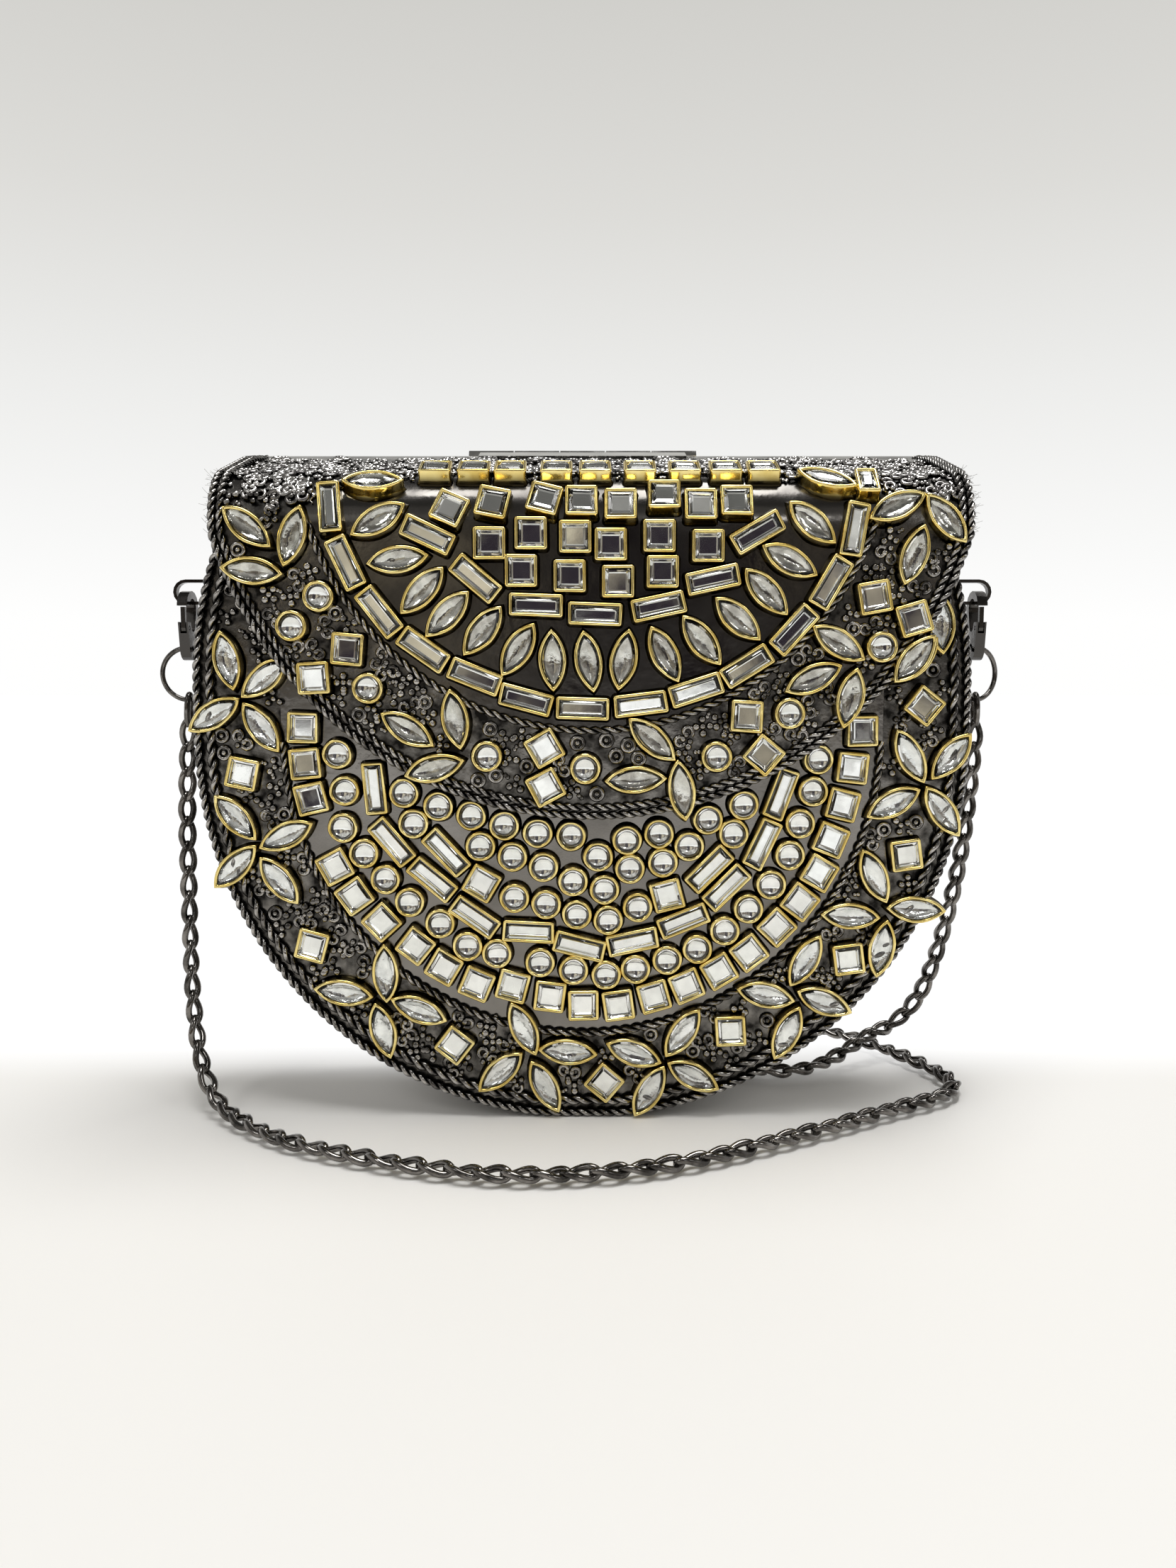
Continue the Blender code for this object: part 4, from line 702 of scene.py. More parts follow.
# bright and dull patches of wear, with painted shade at the foot of each granule and wire
crust_metal = plated("granulation_wear_and_shade", ((0.80, 0.78, 0.75), (0.18, 0.17, 0.165), (0.012, 0.012, 0.012)),
                     (0.08, 0.26), 220.0)
chain_metal = plated("chain_gunmetal", ((0.24, 0.226, 0.212), (0.06, 0.056, 0.052), (0.05, 0.05, 0.05)),
                     (0.08, 0.20), 220.0)
fitting_metal = plated("fitting_gunmetal", ((0.20, 0.19, 0.18), (0.08, 0.075, 0.07), (0.075, 0.071, 0.067)),
                       (0.10, 0.24), 150.0)
bright_nickel = plated("bright_nickel", ((0.85, 0.84, 0.82), (0.62, 0.61, 0.60), (0.56, 0.55, 0.53)),
                       (0.10, 0.22), 120.0)
magnet_nickel = plated("magnet_nickel", ((0.62, 0.62, 0.62), (0.45, 0.45, 0.45), (0.3, 0.3, 0.3)),
                       (0.2, 0.35), 200.0)
glass = clear_glass("clear_glass", (0.96, 0.975, 0.96))
mirror_foil = plated("mirror_foil", ((0.96, 0.96, 0.94), (0.84, 0.84, 0.82), (0.9, 0.9, 0.9)), (0.03, 0.10),
                     240.0, 500.0, 0.000004)
crinkled_foil = plated("crinkled_foil", ((0.94, 0.945, 0.93), (0.70, 0.71, 0.70), (0.9, 0.9, 0.9)),
                       (0.05, 0.14), 260.0, 800.0, 0.00010)
# a darker, warmer copy of the crinkled foil for the lid's marquises; the darkening is painted shade
shaded_lid_foil = plated("shaded_lid_foil", ((0.74, 0.73, 0.68), (0.40, 0.385, 0.35), (0.5, 0.5, 0.5)), (0.05, 0.14),
                   300.0, 800.0, 0.00010)
cloth = woven("black_brushed_cloth", (0.010, 0.010, 0.011), (0.034, 0.033, 0.035), 0.4, 0.00012)
thread = woven("loose_thread", (0.34, 0.34, 0.34), (0.62, 0.62, 0.60), 0.2, 0.00002)


# Camera, floor and light


def make_camera():
    """The photograph's camera, tilted a little down."""
    data = bpy.data.cameras.new("photo_camera")
    data.sensor_width = 36.0
    data.lens = 27.0
    data.clip_start = 0.01
    made = stand("photo_camera", data)
    made.location = (0.0016, -0.3305, 0.121)
    made.rotation_euler = (math.radians(90 - 5.4), 0, 0)
    bpy.context.scene.camera = made


def make_backdrop(name, points, finish):
    """A flat piece of the studio with its material."""
    mesh = bpy.data.meshes.new(name)
    mesh.from_pydata(points, [], [tuple(range(len(points)))])
    mesh.materials.append(finish)
    made = stand(name, mesh)
    return made


def make_floor():
    """A pale table top that runs out into a glowing white sweep behind the bag and far in front of it:
    painted light, which clears the bag's shadow there and lights the bag from the floor.
    """
    floor_with_glow, tree, shader, where = new_material("pale_floor")
    along = add_node(tree, "ShaderNodeSeparateXYZ", {"Vector": where})["Y"]
    # glow: painted light on the floor, where the base colour goes black
    glow = add_node(tree, "ShaderNodeMath", {
        0: between(tree, along, 0.006, 0.052, "SMOOTHSTEP"),
        1: between(tree, along, -0.42, -0.70, "SMOOTHSTEP"),
    })["Value"]
    tone = mixed(tree, glow, (0.90, 0.885, 0.855), (0.0, 0.0, 0.0))
    fill(shader, {
        "Roughness": 0.55, "Emission Color": (1, 1, 1, 1), "Emission Strength": glow, "Base Color": tone,
    })
    reach = 6.0
    corners = [(-reach, -reach, 0), (reach, -reach, 0), (reach, reach, 0), (-reach, reach, 0)]
    make_backdrop("floor", corners, floor_with_glow)


def make_curtain():
    """A dark cloth draped on a stand behind the camera, which only the stones and the metal mirror."""
    cloth_back, tree, shader, where = new_material("curtain_cloth")
    folds = noise(tree, where, 5.0)
    tone = colour_ramp(tree, folds, ((0.46, (0.012, 0.006, 0.014)), (0.68, (0.62, 0.55, 0.42))))
    fill(shader, {"Base Color": tone, "Roughness": 0.9})
    outline = ((-0.74, 0.02), (0.76, 0.02), (0.66, 0.24), (0.44, 0.33), (0.29, 0.56), (0.08, 0.70),
               (-0.14, 0.66), (-0.26, 0.47), (-0.49, 0.36), (-0.66, 0.22))
    make_backdrop("dark_curtain", [(x, -1.7, z) for x, z in outline], cloth_back).visible_camera = False


def make_world():
    """A pale wall that fades upwards. Behind the camera the room is dark, which only stones and metal see."""
    world = bpy.data.worlds.new("studio")
    bpy.context.scene.world = world
    world.use_nodes = True
    tree = world.node_tree
    where = add_node(tree, "ShaderNodeTexCoord")["Generated"]
    way = add_node(tree, "ShaderNodeSeparateXYZ", {"Vector": where})
    wall = colour_ramp(tree, way["Z"], (
        (0.04, (1.0, 1.0, 0.995)), (0.22, (0.847, 0.847, 0.833)), (0.35, (0.723, 0.716, 0.69)),
        (0.48, (0.631, 0.624, 0.597)),
    ))
    clutter = noise(tree, where, 5.0, 3.0)
    low_room = colour_ramp(tree, clutter, (
        (0.38, (0.03, 0.022, 0.02)), (0.48, (0.22, 0.18, 0.14)), (0.58, (0.52, 0.48, 0.42)),
        (0.66, (0.85, 0.84, 0.80)),
    ))
    high_room = colour_ramp(tree, clutter, ((0.35, (0.26, 0.25, 0.24)), (0.65, (0.70, 0.69, 0.66))))
    room = mixed(tree, between(tree, way["Z"], 0.15, 0.28), low_room, high_room)
    behind = between(tree, way["Y"], -0.05, -0.40)
    seen = add_node(tree, "ShaderNodeLightPath")["Is Camera Ray"]
    unseen = add_node(tree, "ShaderNodeMath", {0: behind, 1: seen}, operation="SUBTRACT", use_clamp=True)
    overhead = between(tree, way["Z"], 0.50, 0.72)
    lit = mixed(tree, overhead, mixed(tree, unseen["Value"], wall, room), (0.13, 0.128, 0.122))
    fill(tree.nodes["Background"], {"Color": lit, "Strength": 1.0})


def make_lamp(name, place, aim_height, size, power):
    data = bpy.data.lights.new(name, "AREA")
    data.shape = "RECTANGLE"
    data.size, data.size_y = size
    data.energy = power
    made = stand(name, data)
    made.location = place
    made.rotation_euler = (Vector((0, 0, aim_height)) - Vector(place)).to_track_quat("-Z", "Y").to_euler()


make_camera()
make_floor()
make_world()
make_lamp("ceiling_softbox", (0.10, -0.06, 1.35), 0.0, (1.0, 0.50), 14.0)
make_lamp("left_softbox", (-0.75, -0.80, 1.05), 0.1, (0.30, 0.30), 1.6)
make_lamp("right_softbox", (0.85, -0.60, 0.95), 0.1, (0.24, 0.24), 1.0)
make_lamp("front_softbox", (0.30, -1.50, 0.68), 0.1, (0.14, 0.10), 0.4)
make_curtain()
bpy.context.scene.view_settings.view_transform = "Standard"


# Chain strap


def chain_line():
    """The route as a smooth curve."""
    route = [Vector(place) for place in CHAIN_ROUTE]
    fine = []
    for i in range(len(route) - 1):
        before, after = route[max(i - 1, 0)], route[min(i + 2, len(route) - 1)]
        pull_in, pull_out = (route[i + 1] - before) / 2, (after - route[i]) / 2
        for step in range(10):
            t = step / 10
            fine.append(route[i] * (2 * t**3 - 3 * t**2 + 1) + pull_in * (t**3 - 2 * t**2 + t)
                        + route[i + 1] * (3 * t**2 - 2 * t**3) + pull_out * (t**3 - t**2))
    fine.append(route[-1])
    return fine


def add_link(form, middle, along, face, twist_by=LINK_TWIST):
    """A curb link: an oval of wire with its two ends twisted against each other."""
    across = face.cross(along).normalized()
    out = along.cross(across).normalized()
    path = []
    for t in turns(26):
        twist = math.radians(twist_by) * math.cos(t)
        wide = LINK_HALF_WIDTH * math.sin(t)
        path.append(middle + along * (LINK_HALF_LENGTH * math.cos(t))
                    + across * (wide * math.cos(twist)) + out * (wide * math.sin(twist)))
    form.tube(path, LINK_WIRE, 9, loop=True)


def make_chain():
    """Links that hang face on at the right and turned at the left, and lie flat on the floor."""
    line = chain_line()
    spots = [row[0] for row in evenly(line, LINK_PITCH)]
    form = Form()
    face = Vector((0, -1, 0))
    last = len(spots) - 2
    for index, (start, end) in enumerate(zip(spots, spots[1:])):
        along = (end - start).normalized()
        middle = (start + end) / 2
        if index in (0, last):
            add_link(form, middle, along, Vector((1, 0, 0)), 0)
            continue
        lying = min(1.0, max(0.0, (HANGS_ABOVE - middle.z) / LYING_SPAN))
        turned = min(1.0, max(0.0, (index - 2) / 4)) if index < last / 2 else 0.15
        swing = LEFT_SWING * turned + UNEVEN_SWING * math.sin(0.9 * index)
        goal = Vector((math.sin(swing), -math.cos(swing), 0)).lerp(Vector((0, -0.1, 1)), lying)
        face = face.lerp(goal, 0.45)
        face = (face - along * face.dot(along)).normalized()
        roll = Matrix.Rotation(UNEVEN_ROLL * lying * math.sin(2.2 * index), 3, along)
        add_link(form, middle, along, roll @ face)
    made = form.piece("chain_links", "bag", chain_metal, ("chain",), 60, "dark_nickel_fittings")


make_chain()


# Sheets


def make_wall(name, rear, top, finish, stands_for):
    """A flat sheet of the body with eased edges, from its rear face forwards."""
    form = Form()
    levels = ((EASE, 0.0), (0.0, EASE), (0.0, SHEET - EASE), (EASE, SHEET))
    rings = [[(x, rear - depth, z) for x, z in outline_whole(inset, top)] for inset, depth in levels]
    form.loft(rings, True, True)
    form.piece(name, "bag", finish, (stands_for,), 30, "gunmetal_sheet")


def band_rings(inset, low, high, steps=10):
    """Outlines at even depths, each ending at the sloping mouth."""
    rings = []
    for i in range(steps + 1):
        y = low + (high - low) * i / steps
        rings.append([Vector((x, y, z)) for x, z in outline_whole(inset, mouth_height(y))])
    return rings


def make_gusset():
    form = Form()
    outer = band_rings(0.0, INNER_FRONT, INNER_BACK)
    inner = band_rings(SHEET, INNER_FRONT, INNER_BACK)
    form.loft(outer + list(reversed(inner)), loop=True, closed=False)
    for end in (0, -1):
        form.loft([[ring[end] for ring in outer], [ring[end] for ring in inner]], closed=False)
    form.piece("gusset_band", "bag", polished_sheet, ("gusset",), 30, "gunmetal_sheet")


def lid_columns(depth, inset, columns=96):
    """Rows of points up the lid at a depth under its face, from its round lower edge to its upright rear."""
    half = LID_HALF_WIDTH - inset
    radius = LID_ARC_RADIUS - inset
    top_run = REAR_RUN - inset / math.cos(LID_SLOPE) - depth * math.tan(LID_SLOPE)
    made = []
    for i in range(columns + 1):
        x = -half * math.cos(math.pi * i / columns)
        low = LID_ARC_HEIGHT - math.sqrt(radius**2 - x * x)
        past = max(0.0, abs(x) - (half - LID_CORNER_RADIUS))
        cut = LID_CORNER_RADIUS - math.sqrt(max(0.0, LID_CORNER_RADIUS**2 - past**2))
        high = top_run - cut / math.cos(LID_SLOPE)
        runs = [low + (LID_BEND_HEIGHT - low) * j / 16 for j in range(16)]
        runs += [LID_BEND_HEIGHT + (FULL_RUN - LID_BEND_HEIGHT) * j / 10 for j in range(10)]
        runs += [FULL_RUN + (high - FULL_RUN) * j / 8 for j in range(9)]
        made.append([lid_spot(x, run, -depth) for run in runs])
    return made


def lid_shell(form, depth, thickness, inset):
    outer = lid_columns(depth, inset)
    inner = lid_columns(depth + thickness, inset)
    form.loft([a + list(reversed(b)) for a, b in zip(outer, inner)], True, True)


def make_lid_sheet():
    form = Form()
    lid_shell(form, 0.0, SHEET, 0.0)
    form.piece("flap_sheet", "flap", shaded_lid_gunmetal, ("flap_panel",), 30, "gunmetal_sheet")


make_wall("front_sheet", FRONT_FACE + SHEET, mouth_height(FRONT_FACE), gunmetal, "front_panel")
make_wall("back_sheet", BACK_FACE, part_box("back_panel")[1].z, polished_sheet, "back_panel")
make_gusset()
make_lid_sheet()


# Stones in their bezels


def make_mosaic(prefix, body, tables, place, top, pan_foil, seed):
    """Every bezel of one sheet, its glass and its foil."""
    dice = random.Random(seed)
    bezels, clear, mirror, crinkled = Form(), Form(), Form(), Form()
    for kind, across, up, turn in stones_of(tables):
        seat = place(across, up, stone_span(kind, turn)) @ Matrix.Rotation(math.radians(-turn), 4, "Z")
        stone = Stone(kind, seat, top, dice)
        stone.add_bezel(bezels)
        stone.add_glass(clear)
        stone.add_foil(crinkled if kind == "marquise" else mirror)
    bezels.piece(prefix + "_bezels", body, gold, crease=50)
    clear.piece(prefix + "_stones", body, glass, crease=14)
    mirror.piece(prefix + "_mirror_foils", body, mirror_foil, crease=20)
    crinkled.piece(prefix + "_crinkled_foils", body, pan_foil, crease=16)


make_mosaic("front", "bag", FRONT_STONES, front_place, FRONT_STONE_HEIGHT, crinkled_foil, 11)
make_mosaic("flap", "flap", LID_STONES, lid_place, LID_STONE_HEIGHT, shaded_lid_foil, 12)


# Granulation and scrolls between the stones


def stone_capsules(tables, run_of):
    """Where the stones stand: (x, run) of both ends of each one's middle line, and how wide it is."""
    rows = []
    for kind, across, up, turn in stones_of(tables):
        length, width = STONE_SIZES[kind]
        half = (length - width) * (0.42 if kind == "marquise" else 0.5)
        wide = width * (0.62 if kind == "square" else 0.55)
        x, run = across * FIELD_RADIUS, run_of(up)
        dx, dr = half * math.cos(math.radians(turn)), -half * math.sin(math.radians(turn))
        rows.append((x - dx, run - dr, x + dx, run + dr, wide))
    return rows


def capsule_gap(x, run, capsule):
    ax, ar, bx, br, wide = capsule
    length = (bx - ax) ** 2 + (br - ar) ** 2
    along = (x - ax) * (bx - ax) + (run - ar) * (br - ar)
    share = 0.0 if length == 0 else max(0.0, min(1.0, along / length))
    return math.hypot(x - ax - share * (bx - ax), run - ar - share * (br - ar)) - wide


def scatter(dice, window, inside, capsules, spacing, clear, tries):
    """Random places on a sheet, none closer than the spacing, clear of the stones."""
    low_x, low_run, high_x, high_run = window
    cells = {}
    found = []
    for _ in range(tries):
        x, run = dice.uniform(low_x, high_x), dice.uniform(low_run, high_run)
        column, row = int(x // spacing), int(run // spacing)
        near = [p for i in (-1, 0, 1) for j in (-1, 0, 1) for p in cells.get((column + i, row + j), ())]
        if any(math.hypot(x - a, run - b) < spacing for a, b in near) or not inside(x, run):
            continue
        if any(capsule_gap(x, run, capsule) < clear for capsule in capsules):
            continue
        cells.setdefault((column, row), []).append((x, run))
        found.append((x, run))
    return found


def add_wire(form, path, out, radius, sides=8, loop=False):
    """A wire on a sheet, painted dark towards the sheet and light on its high side: painted shade and
    highlight.
    """
    form.tube(path, radius, sides, loop, [(spot, out, radius) for spot in path])


def add_trefoil(form, place, out, dice):
    """Granules round a middle one, with a stem of two small ones."""
    count = dice.choice((3, 3, 4))
    form.bead(place @ Vector((0, 0, 0.0008)), out, 0.00090, 9)
    for angle in turns(count):
        reach = dice.uniform(0.0017, 0.0019)
        middle = place @ Vector((reach * math.cos(angle), reach * math.sin(angle), 0.0007))
        form.bead(middle, out, dice.uniform(0.00100, 0.00116), 10)
    for step in (0.0028, 0.0037):
        form.bead(place @ Vector((step * math.cos(1.05), step * math.sin(1.05), 0.0005)), out, 0.00068)


def add_scrolls(form, place, out, dice):
    """Two curled wires back to back, like a heart, each ending in a granule."""
    for side in (-1, 1):
        path = []
        for i in range(13):
            angle = math.radians(-100 + 300 * i / 12)
            curl = 0.00155 * (1 - 0.035 * i)
            x = side * (0.00155 + curl * math.cos(angle))
            path.append(place @ Vector((x, curl * math.sin(angle), 0.0007)))
        add_wire(form, path, out, SCROLL_WIRE)
        form.bead(path[-1], out, 0.00090)
    form.bead(place @ Vector((0, -0.0022, 0.0005)), out, 0.00090)


def add_ring_dot(form, place, out, dice):
    """A little ring of wire with a granule in it."""
    path = [place @ Vector((0.0016 * math.cos(t), 0.0016 * math.sin(t), 0.0007)) for t in turns(18)]
    add_wire(form, path, out, DOT_WIRE, loop=True)
    form.bead(place @ Vector((0, 0, 0.0006)), out, 0.00080)


def add_crumb(form, place, out, dice):
    """A few granules run together, with a scrap of wire."""
    for _ in range(dice.choice((2, 3, 3))):
        spot = Vector((dice.uniform(-0.0012, 0.0012), dice.uniform(-0.0012, 0.0012), 0.0003))
        form.bead(place @ spot, out, dice.uniform(0.00048, 0.00078))
    if dice.random() < 0.55:
        path = [place @ Vector((-0.0016 + 0.0008 * i, 0.0006 * math.sin(1.6 * i), 0.0004)) for i in range(5)]
        add_wire(form, path, out, CRUMB_WIRE, 6)


def in_body_border(x, run):
    """Between the body's half-round motif and its thicker rope, and on the shoulders beside the lid."""
    if run <= SHOULDER_BASE:
        from_middle = math.hypot(x, min(0.0, run - CENTRE_HEIGHT))
        return MOTIF_CLEAR < from_middle < OUTER_RADIUS - BORDER_CLEAR
    edge = math.sqrt(OUTER_RADIUS**2 - min(run - SHOULDER_BASE, SHOULDER_RISE) ** 2)
    return MOTIF_CLEAR < abs(x) < edge - BORDER_CLEAR and run < mouth_height(FRONT_FACE) - 0.003


def in_lid_border(x, run):
    """Between the lid's motif rope and its double border."""
    x -= LID_SHIFT
    past_motif = math.hypot(x, run - LID_MOTIF_HEIGHT) >= LID_MOTIF_CLEAR
    in_reach = abs(x) <= LID_SIDE_REACH and math.hypot(x, run - LID_ARC_HEIGHT) <= LID_BORDER_REACH
    return past_motif and in_reach and run < LID_BEND_HEIGHT + 0.008


def on_lid_top(x, run):
    """Behind the stones on the bend, up to the rear edge and its cut corners."""
    x -= LID_SHIFT
    low = FULL_RUN - (0.004 if abs(x) < 0.065 else 0.011)
    past = max(0.0, abs(x) - (LID_SIDE_REACH - 0.004))
    return abs(x) < LID_SIDE_REACH and low < run < REAR_RUN - 0.0105 - past


def make_fields():
    """Thin dark, mottled strips under the granulation: in both borders and across the lid's top."""
    form = Form()
    outer = outline_whole(0.0005, mouth_height(FRONT_FACE) - 0.0005, 40)
    inner = []
    for x, z in outer:
        if z < CENTRE_HEIGHT:
            reach = MOTIF_FIELD / math.hypot(x, z - CENTRE_HEIGHT)
            inner.append((x * reach, CENTRE_HEIGHT + (z - CENTRE_HEIGHT) * reach))
        else:
            inner.append((math.copysign(MOTIF_FIELD, x), z))
    form.loft([[(x, FRONT_FACE - STRIP_LIFT, z) for x, z in line] for line in (outer, inner)], closed=False)
    form.piece("front_border_field", "bag", field_metal)
    form = Form()
    strips = []
    half = LID_HALF_WIDTH - LID_STRIP_INSET
    for i in range(97):
        x = -half * math.cos(math.pi * i / 96)
        low = LID_ARC_HEIGHT - math.sqrt((LID_ARC_RADIUS - 0.0006) ** 2 - x * x)
        reach = LID_MOTIF_FIELD**2 - x * x
        high = FULL_RUN if reach < 0 else min(FULL_RUN, LID_MOTIF_HEIGHT - math.sqrt(reach))
        strips.append([lid_spot(x, low + (high - low) * j / 24, STRIP_LIFT) for j in range(25)])
    form.loft(strips, closed=False)
    ends = (FULL_RUN, REAR_RUN - STRIP_REAR_INSET)
    top = [[lid_spot(side * half, run, STRIP_LIFT) for side in (-1, 1)] for run in ends]
    form.loft(top, closed=False)
    form.piece("flap_border_field", "flap", field_metal)


def make_filigree():
    """Motifs at random places, each turned at random."""
    dice = random.Random(21)
    motifs = (add_trefoil, add_trefoil, add_trefoil, add_scrolls, add_scrolls, add_ring_dot)
    crumbs = (add_crumb, add_crumb, add_crumb, add_scrolls)
    front = stone_capsules(FRONT_STONES, lambda up: up * FIELD_RADIUS)
    lid = stone_capsules(LID_STONES, lid_run)
    for name, body, finish, choices, place_of, *search in (
        ("front_filigree", "bag", filigree_metal, motifs, front_run_place,
         (-0.1, 0.004, 0.1, 0.16), in_body_border, front, 0.0040, 0.0011, 26000),
        ("flap_filigree", "flap", filigree_metal, motifs, lid_run_place,
         (-0.096, 0.085, 0.1, 0.17), in_lid_border, lid, 0.0040, 0.0011, 22000),
        ("flap_top_granules", "flap", crust_metal, crumbs, lid_run_place,
         (-0.096, LID_BEND_HEIGHT, 0.1, REAR_RUN), on_lid_top, lid, 0.0026, 0.0006, 26000),
    ):
        form = Form()
        for x, run in scatter(dice, *search):
            place = place_of(x, run) @ Matrix.Rotation(dice.uniform(0, 2 * math.pi), 4, "Z")
            dice.choice(choices)(form, place, place.to_3x3() @ Vector((0, 0, 1)), dice)
        form.piece(name, body, finish, crease=60)


make_fields()
make_filigree()


# Twisted wire borders


def add_rope(form, path, radius, pitch):
    """Two strands laid round each other. path holds (place, out of the sheet)."""
    strands = ([], [])
    # base, out and reach of each step along the rope, for the strands' painted shade
    height_shade = []
    for place, along, distance, spot, share in evenly([place for place, _ in path], pitch / 12):
        out = Vector(path[spot][1]).lerp(Vector(path[spot + 1][1]), share)
        out = (out - along * out.dot(along)).normalized()
        side = along.cross(out)
        height_shade.append((place, out, radius))
        for strand, start in zip(strands, (0.0, math.pi)):
            angle = start + 2 * math.pi * distance / pitch
            strand.append(place + (out * math.cos(angle) + side * math.sin(angle)) * (radius * 0.5))
    for strand in strands:
        form.tube(strand, radius * 0.5, height_shade=height_shade)


def rim_line(inset, y, out):
    top = mouth_height(FRONT_FACE)
    return [(Vector((x, y, z)), (0, out, 0)) for x, z in outline_whole(inset, top, 40)]


def arc_line(middle_x, middle_z, radius, reach, y, steps=60):
    """Along an arc about its lowest point, to an angle on each side."""
    angles = [-reach + 2 * reach * step / steps for step in range(steps + 1)]
    return [(Vector((middle_x + radius * math.sin(a), y, middle_z - radius * math.cos(a))), (0, -1, 0))
            for a in angles]


def lid_line(inset, off):
    """Round the lid's edge: forward along the left of its top, down the side, round, and back up."""
    radius = LID_ARC_RADIUS - inset
    half = LID_HALF_WIDTH - inset
    rear = REAR_RUN - LID_CORNER_RADIUS / math.cos(LID_SLOPE)
    runs = [LID_BEND_HEIGHT + (FULL_RUN - LID_BEND_HEIGHT) * i / 8 for i in range(9)] + [rear - 0.010, rear]

    def edge(side, run, inwards=0.0):
        lean = lid_point(run)[2]
        sunk = off - 0.0016 * max(0.0, (run - rear + 0.010) / 0.014)
        return lid_spot(side * (half - inwards), run, sunk), (0, -math.cos(lean), math.sin(lean))

    corner = LID_CORNER_RADIUS - inset
    bends = [math.pi / 2 * i / 5 for i in range(1, 5)]
    ends = [(rear + corner * math.sin(t) / math.cos(LID_SLOPE), corner * (1 - math.cos(t))) for t in bends]
    arc = arc_line(LID_SHIFT, LID_ARC_HEIGHT, radius, math.asin(half / radius), LID_FACE - off, 72)
    left = [edge(-1, *end) for end in reversed(ends)] + [edge(-1, run) for run in reversed(runs)]
    return left + arc + [edge(1, run) for run in runs] + [edge(1, *end) for end in ends]


def make_ropes():
    front_motif = arc_line(0.0, CENTRE_HEIGHT, MOTIF_ROPE, math.pi / 2, FRONT_FACE - ROPE_LIFT)
    reach = math.acos((LID_MOTIF_HEIGHT - LID_BEND_HEIGHT) / LID_MOTIF_ROPE)
    lid_motif = arc_line(LID_SHIFT, LID_MOTIF_HEIGHT, LID_MOTIF_ROPE, reach, LID_FACE - ROPE_LIFT)
    for name, body, path, radius, pitch in (
        ("front_edge_rope", "bag", rim_line(0.0011, FRONT_FACE - 0.0012, -1), 0.00115, 0.0057),
        ("front_border_rope", "bag", rim_line(0.0046, FRONT_FACE - 0.0013, -1), 0.00135, 0.0072),
        ("front_motif_rope", "bag", front_motif, 0.0011, 0.0060),
        ("back_edge_rope", "bag", rim_line(0.0011, BACK_FACE + 0.0012, 1), 0.00115, 0.0057),
        ("flap_edge_rope", "flap", lid_line(0.0010, 0.0011), 0.00108, 0.0052),
        ("flap_inner_rope", "flap", lid_line(0.0032, 0.0011), 0.00108, 0.0052),
        ("flap_motif_rope", "flap", lid_motif, 0.0011, 0.0060),
    ):
        form = Form()
        add_rope(form, path, radius, pitch)
        form.piece(name + "_strands", body, wire_metal, (name,), 60, "black_nickel_wire")


make_ropes()


# Linings and magnets


def add_cup_wall(form, y, into, seed):
    """One large wall of the inner cup, loosely stretched over its card."""
    dice = random.Random(seed)
    starts = [dice.uniform(0, 6.28) for _ in range(4)]
    half = outline_half(SHEET + GAP + LINING, mouth_height(y), 24)
    rows = []
    for index, (edge, z) in enumerate(half):
        row = []
        for j in range(41):
            x = -edge + 2 * edge * j / 40
            window = math.sin(math.pi * j / 40) * math.sin(math.pi * min(1.0, index / (len(half) - 1)))
            soft = math.sin(55 * x + 40 * z + starts[0]) + math.sin(90 * z - 30 * x + starts[1])
            soft += 0.6 * math.sin(160 * x + starts[2]) * math.sin(120 * z + starts[3])
            row.append((x, y + into * CLOTH_WAVE * window * (soft + 2.6), z))
        rows.append(row)
    form.loft(rows, closed=False)


def add_rim_roll(form, radius):
    """A turned edge of cloth all round the mouth of the cup."""
    low, high = INNER_FRONT + LINING / 2, INNER_BACK - LINING / 2
    side = []
    for i in range(13):
        y = low + (high - low) * i / 12
        edge = outline_half(SHEET + GAP + LINING / 2, mouth_height(y))[-1][0]
        side.append((edge, y, mouth_height(y) - radius))
    path = [Vector((x, y, z)) for x, y, z in side] + [Vector((-x, y, z)) for x, y, z in reversed(side)]
    form.tube(path, radius, 10, loop=True)


def make_body_lining():
    form = Form()
    low, high = INNER_FRONT + LINING, INNER_BACK - LINING
    form.loft(band_rings(SHEET + GAP, INNER_FRONT, INNER_BACK), True, True, closed=False)
    form.loft(band_rings(SHEET + GAP + LINING, low, high), closed=False)
    add_cup_wall(form, low, -1, 31)
    add_cup_wall(form, high, 1, 32)
    add_rim_roll(form, 0.00055)
    form.piece("lining_cup", "bag", cloth, ("body_lining",), 40, "black_lining")


def make_flap_lining():
    """Cloth on the lid's inner face, with a turned edge all round."""
    form = Form()
    depth = SHEET + GAP
    lid_shell(form, depth, LINING, LID_LINING_INSET)
    columns = lid_columns(depth + LINING / 2, LID_LINING_INSET)
    path = [column[0] for column in columns] + columns[-1][1:]
    path += [column[-1] for column in reversed(columns[:-1])] + list(reversed(columns[0][1:-1]))
    kept = [path[0]]
    for place in path[1:]:
        if (place - kept[-1]).length > 0.0008:
            kept.append(place)
    form.tube(kept, HEM_RADIUS, loop=True)
    form.piece("flap_lining_panel", "flap", cloth, ("flap_lining",), 40, "black_lining")


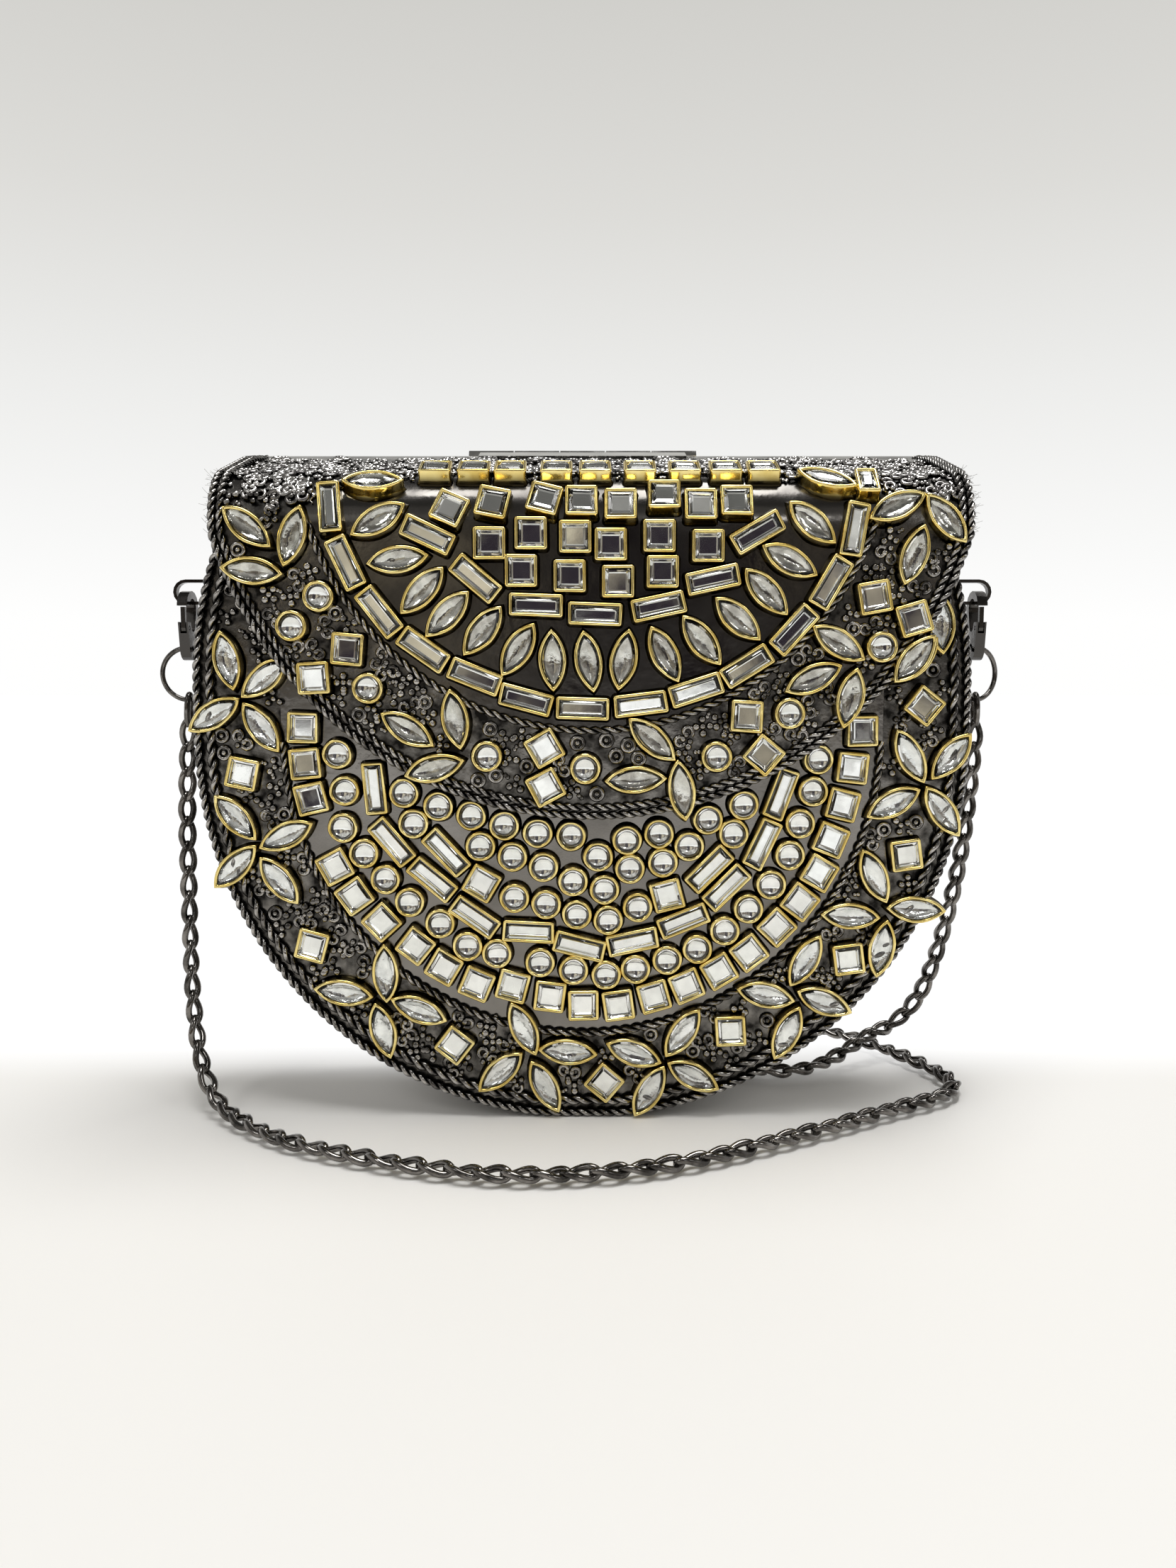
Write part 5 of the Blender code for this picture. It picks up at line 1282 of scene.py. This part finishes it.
def make_magnets():
    """Plated caps, a little proud of the cloth, with a rolled rim and a stamped dimple."""
    profile = ((0.0062, -0.0002), (0.0062, 0.0007), (0.0060, 0.00098), (0.0056, 0.00108), (0.0050, 0.00104),
               (0.0046, 0.00088), (0.0024, 0.00088), (0.0020, 0.00076), (0.0006, 0.0007))
    for prefix, body, face in (("body", "bag", INNER_FRONT), ("flap", "flap", LID_FACE + SHEET + GAP)):
        middle = middle_of(prefix + "_magnet")
        middle.y = face
        form = Form()
        form.turned(profile, middle, Vector((0, 1, 0)), 40)
        form.piece(prefix + "_magnet_cap", body, magnet_nickel, (prefix + "_magnet",), 40, "magnet_steel")


def middle_of(node_name):
    low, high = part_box(node_name)
    return (low + high) / 2


make_body_lining()
make_flap_lining()
make_magnets()


# Fittings


def make_rings():
    """The left ring faces the front. The right one hangs turned about its upright."""
    for side_name, turn in (("left", 0.0), ("right", 28.0)):
        middle = middle_of("jump_ring_" + side_name)
        across = Vector((math.cos(math.radians(turn)), math.sin(math.radians(turn)), 0))
        form = Form()
        path = [middle + across * (math.cos(t) * RING_RADIUS) + Vector((0, 0, math.sin(t) * RING_RADIUS))
                for t in turns(48)]
        form.tube(path, RING_WIRE, 12, loop=True)
        form.piece("end_ring_" + side_name, "bag", chain_metal, ("jump_ring_" + side_name,), 60,
                   "dark_nickel_fittings")


def make_threads():
    """Frayed ends of the lining's stitching at the lid's front corners."""
    dice = random.Random(41)
    form = Form()
    for side in (-1, 1):
        for _ in range(46):
            run = dice.uniform(LID_BEND_HEIGHT - 0.004, FULL_RUN + 0.004)
            y, z, lean = lid_point(run)
            place = Vector((LID_SHIFT + side * (LID_HALF_WIDTH - 0.0008), y + 0.0008 * math.cos(lean), z))
            way = Vector((side * dice.uniform(0.5, 1.0), dice.uniform(-0.5, 0.3), dice.uniform(-0.5, 0.9)))
            bend = Vector((dice.uniform(-1, 1), dice.uniform(-1, 1), dice.uniform(-1, 1)))
            way.normalize()
            reach = dice.uniform(0.0012, 0.0034)
            path = [place + way * (reach * i / 4) + bend * (reach * 0.35 * (i / 4) ** 2) for i in range(5)]
            form.tube(path, THREAD_RADIUS, 3)
    form.piece("flap_corner_threads", "flap", thread, crease=60)


def make_rivets():
    """Four domed heads that hold the hinge's fixed leaf to the back."""
    profile = ((0.0013, -0.0002), (0.0013, 0.00012), (0.0011, 0.00036), (0.0007, 0.00052), (0.0002, 0.00058))
    height = middle_of("hinge_pin").z - RIVET_DROP
    form = Form()
    for x in RIVET_PLACES:
        form.turned(profile, Vector((x, BACK_FACE + GAP + HINGE_LEAF, height)), Vector((0, 1, 0)), 20)
    form.piece("hinge_rivets", "bag", magnet_nickel, slot="bright_nickel")


make_rings()
make_threads()
make_rivets()

# Pieces kept from the solid model
BEVELS = {"hinge_pin": 0.0001, "gate_pin_left": 0.00008, "gate_pin_right": 0.00008}
for name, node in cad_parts.items():
    if not node.hide_render:
        node.data.materials.clear()
        node.data.materials.append(bright_nickel if name.startswith("hinge_") else fitting_metal)
        soften = node.modifiers.new("rounded_edges", "BEVEL")
        soften.width = BEVELS.get(name, 0.00018)
        soften.segments = 2
        soften.angle_limit = math.radians(40)
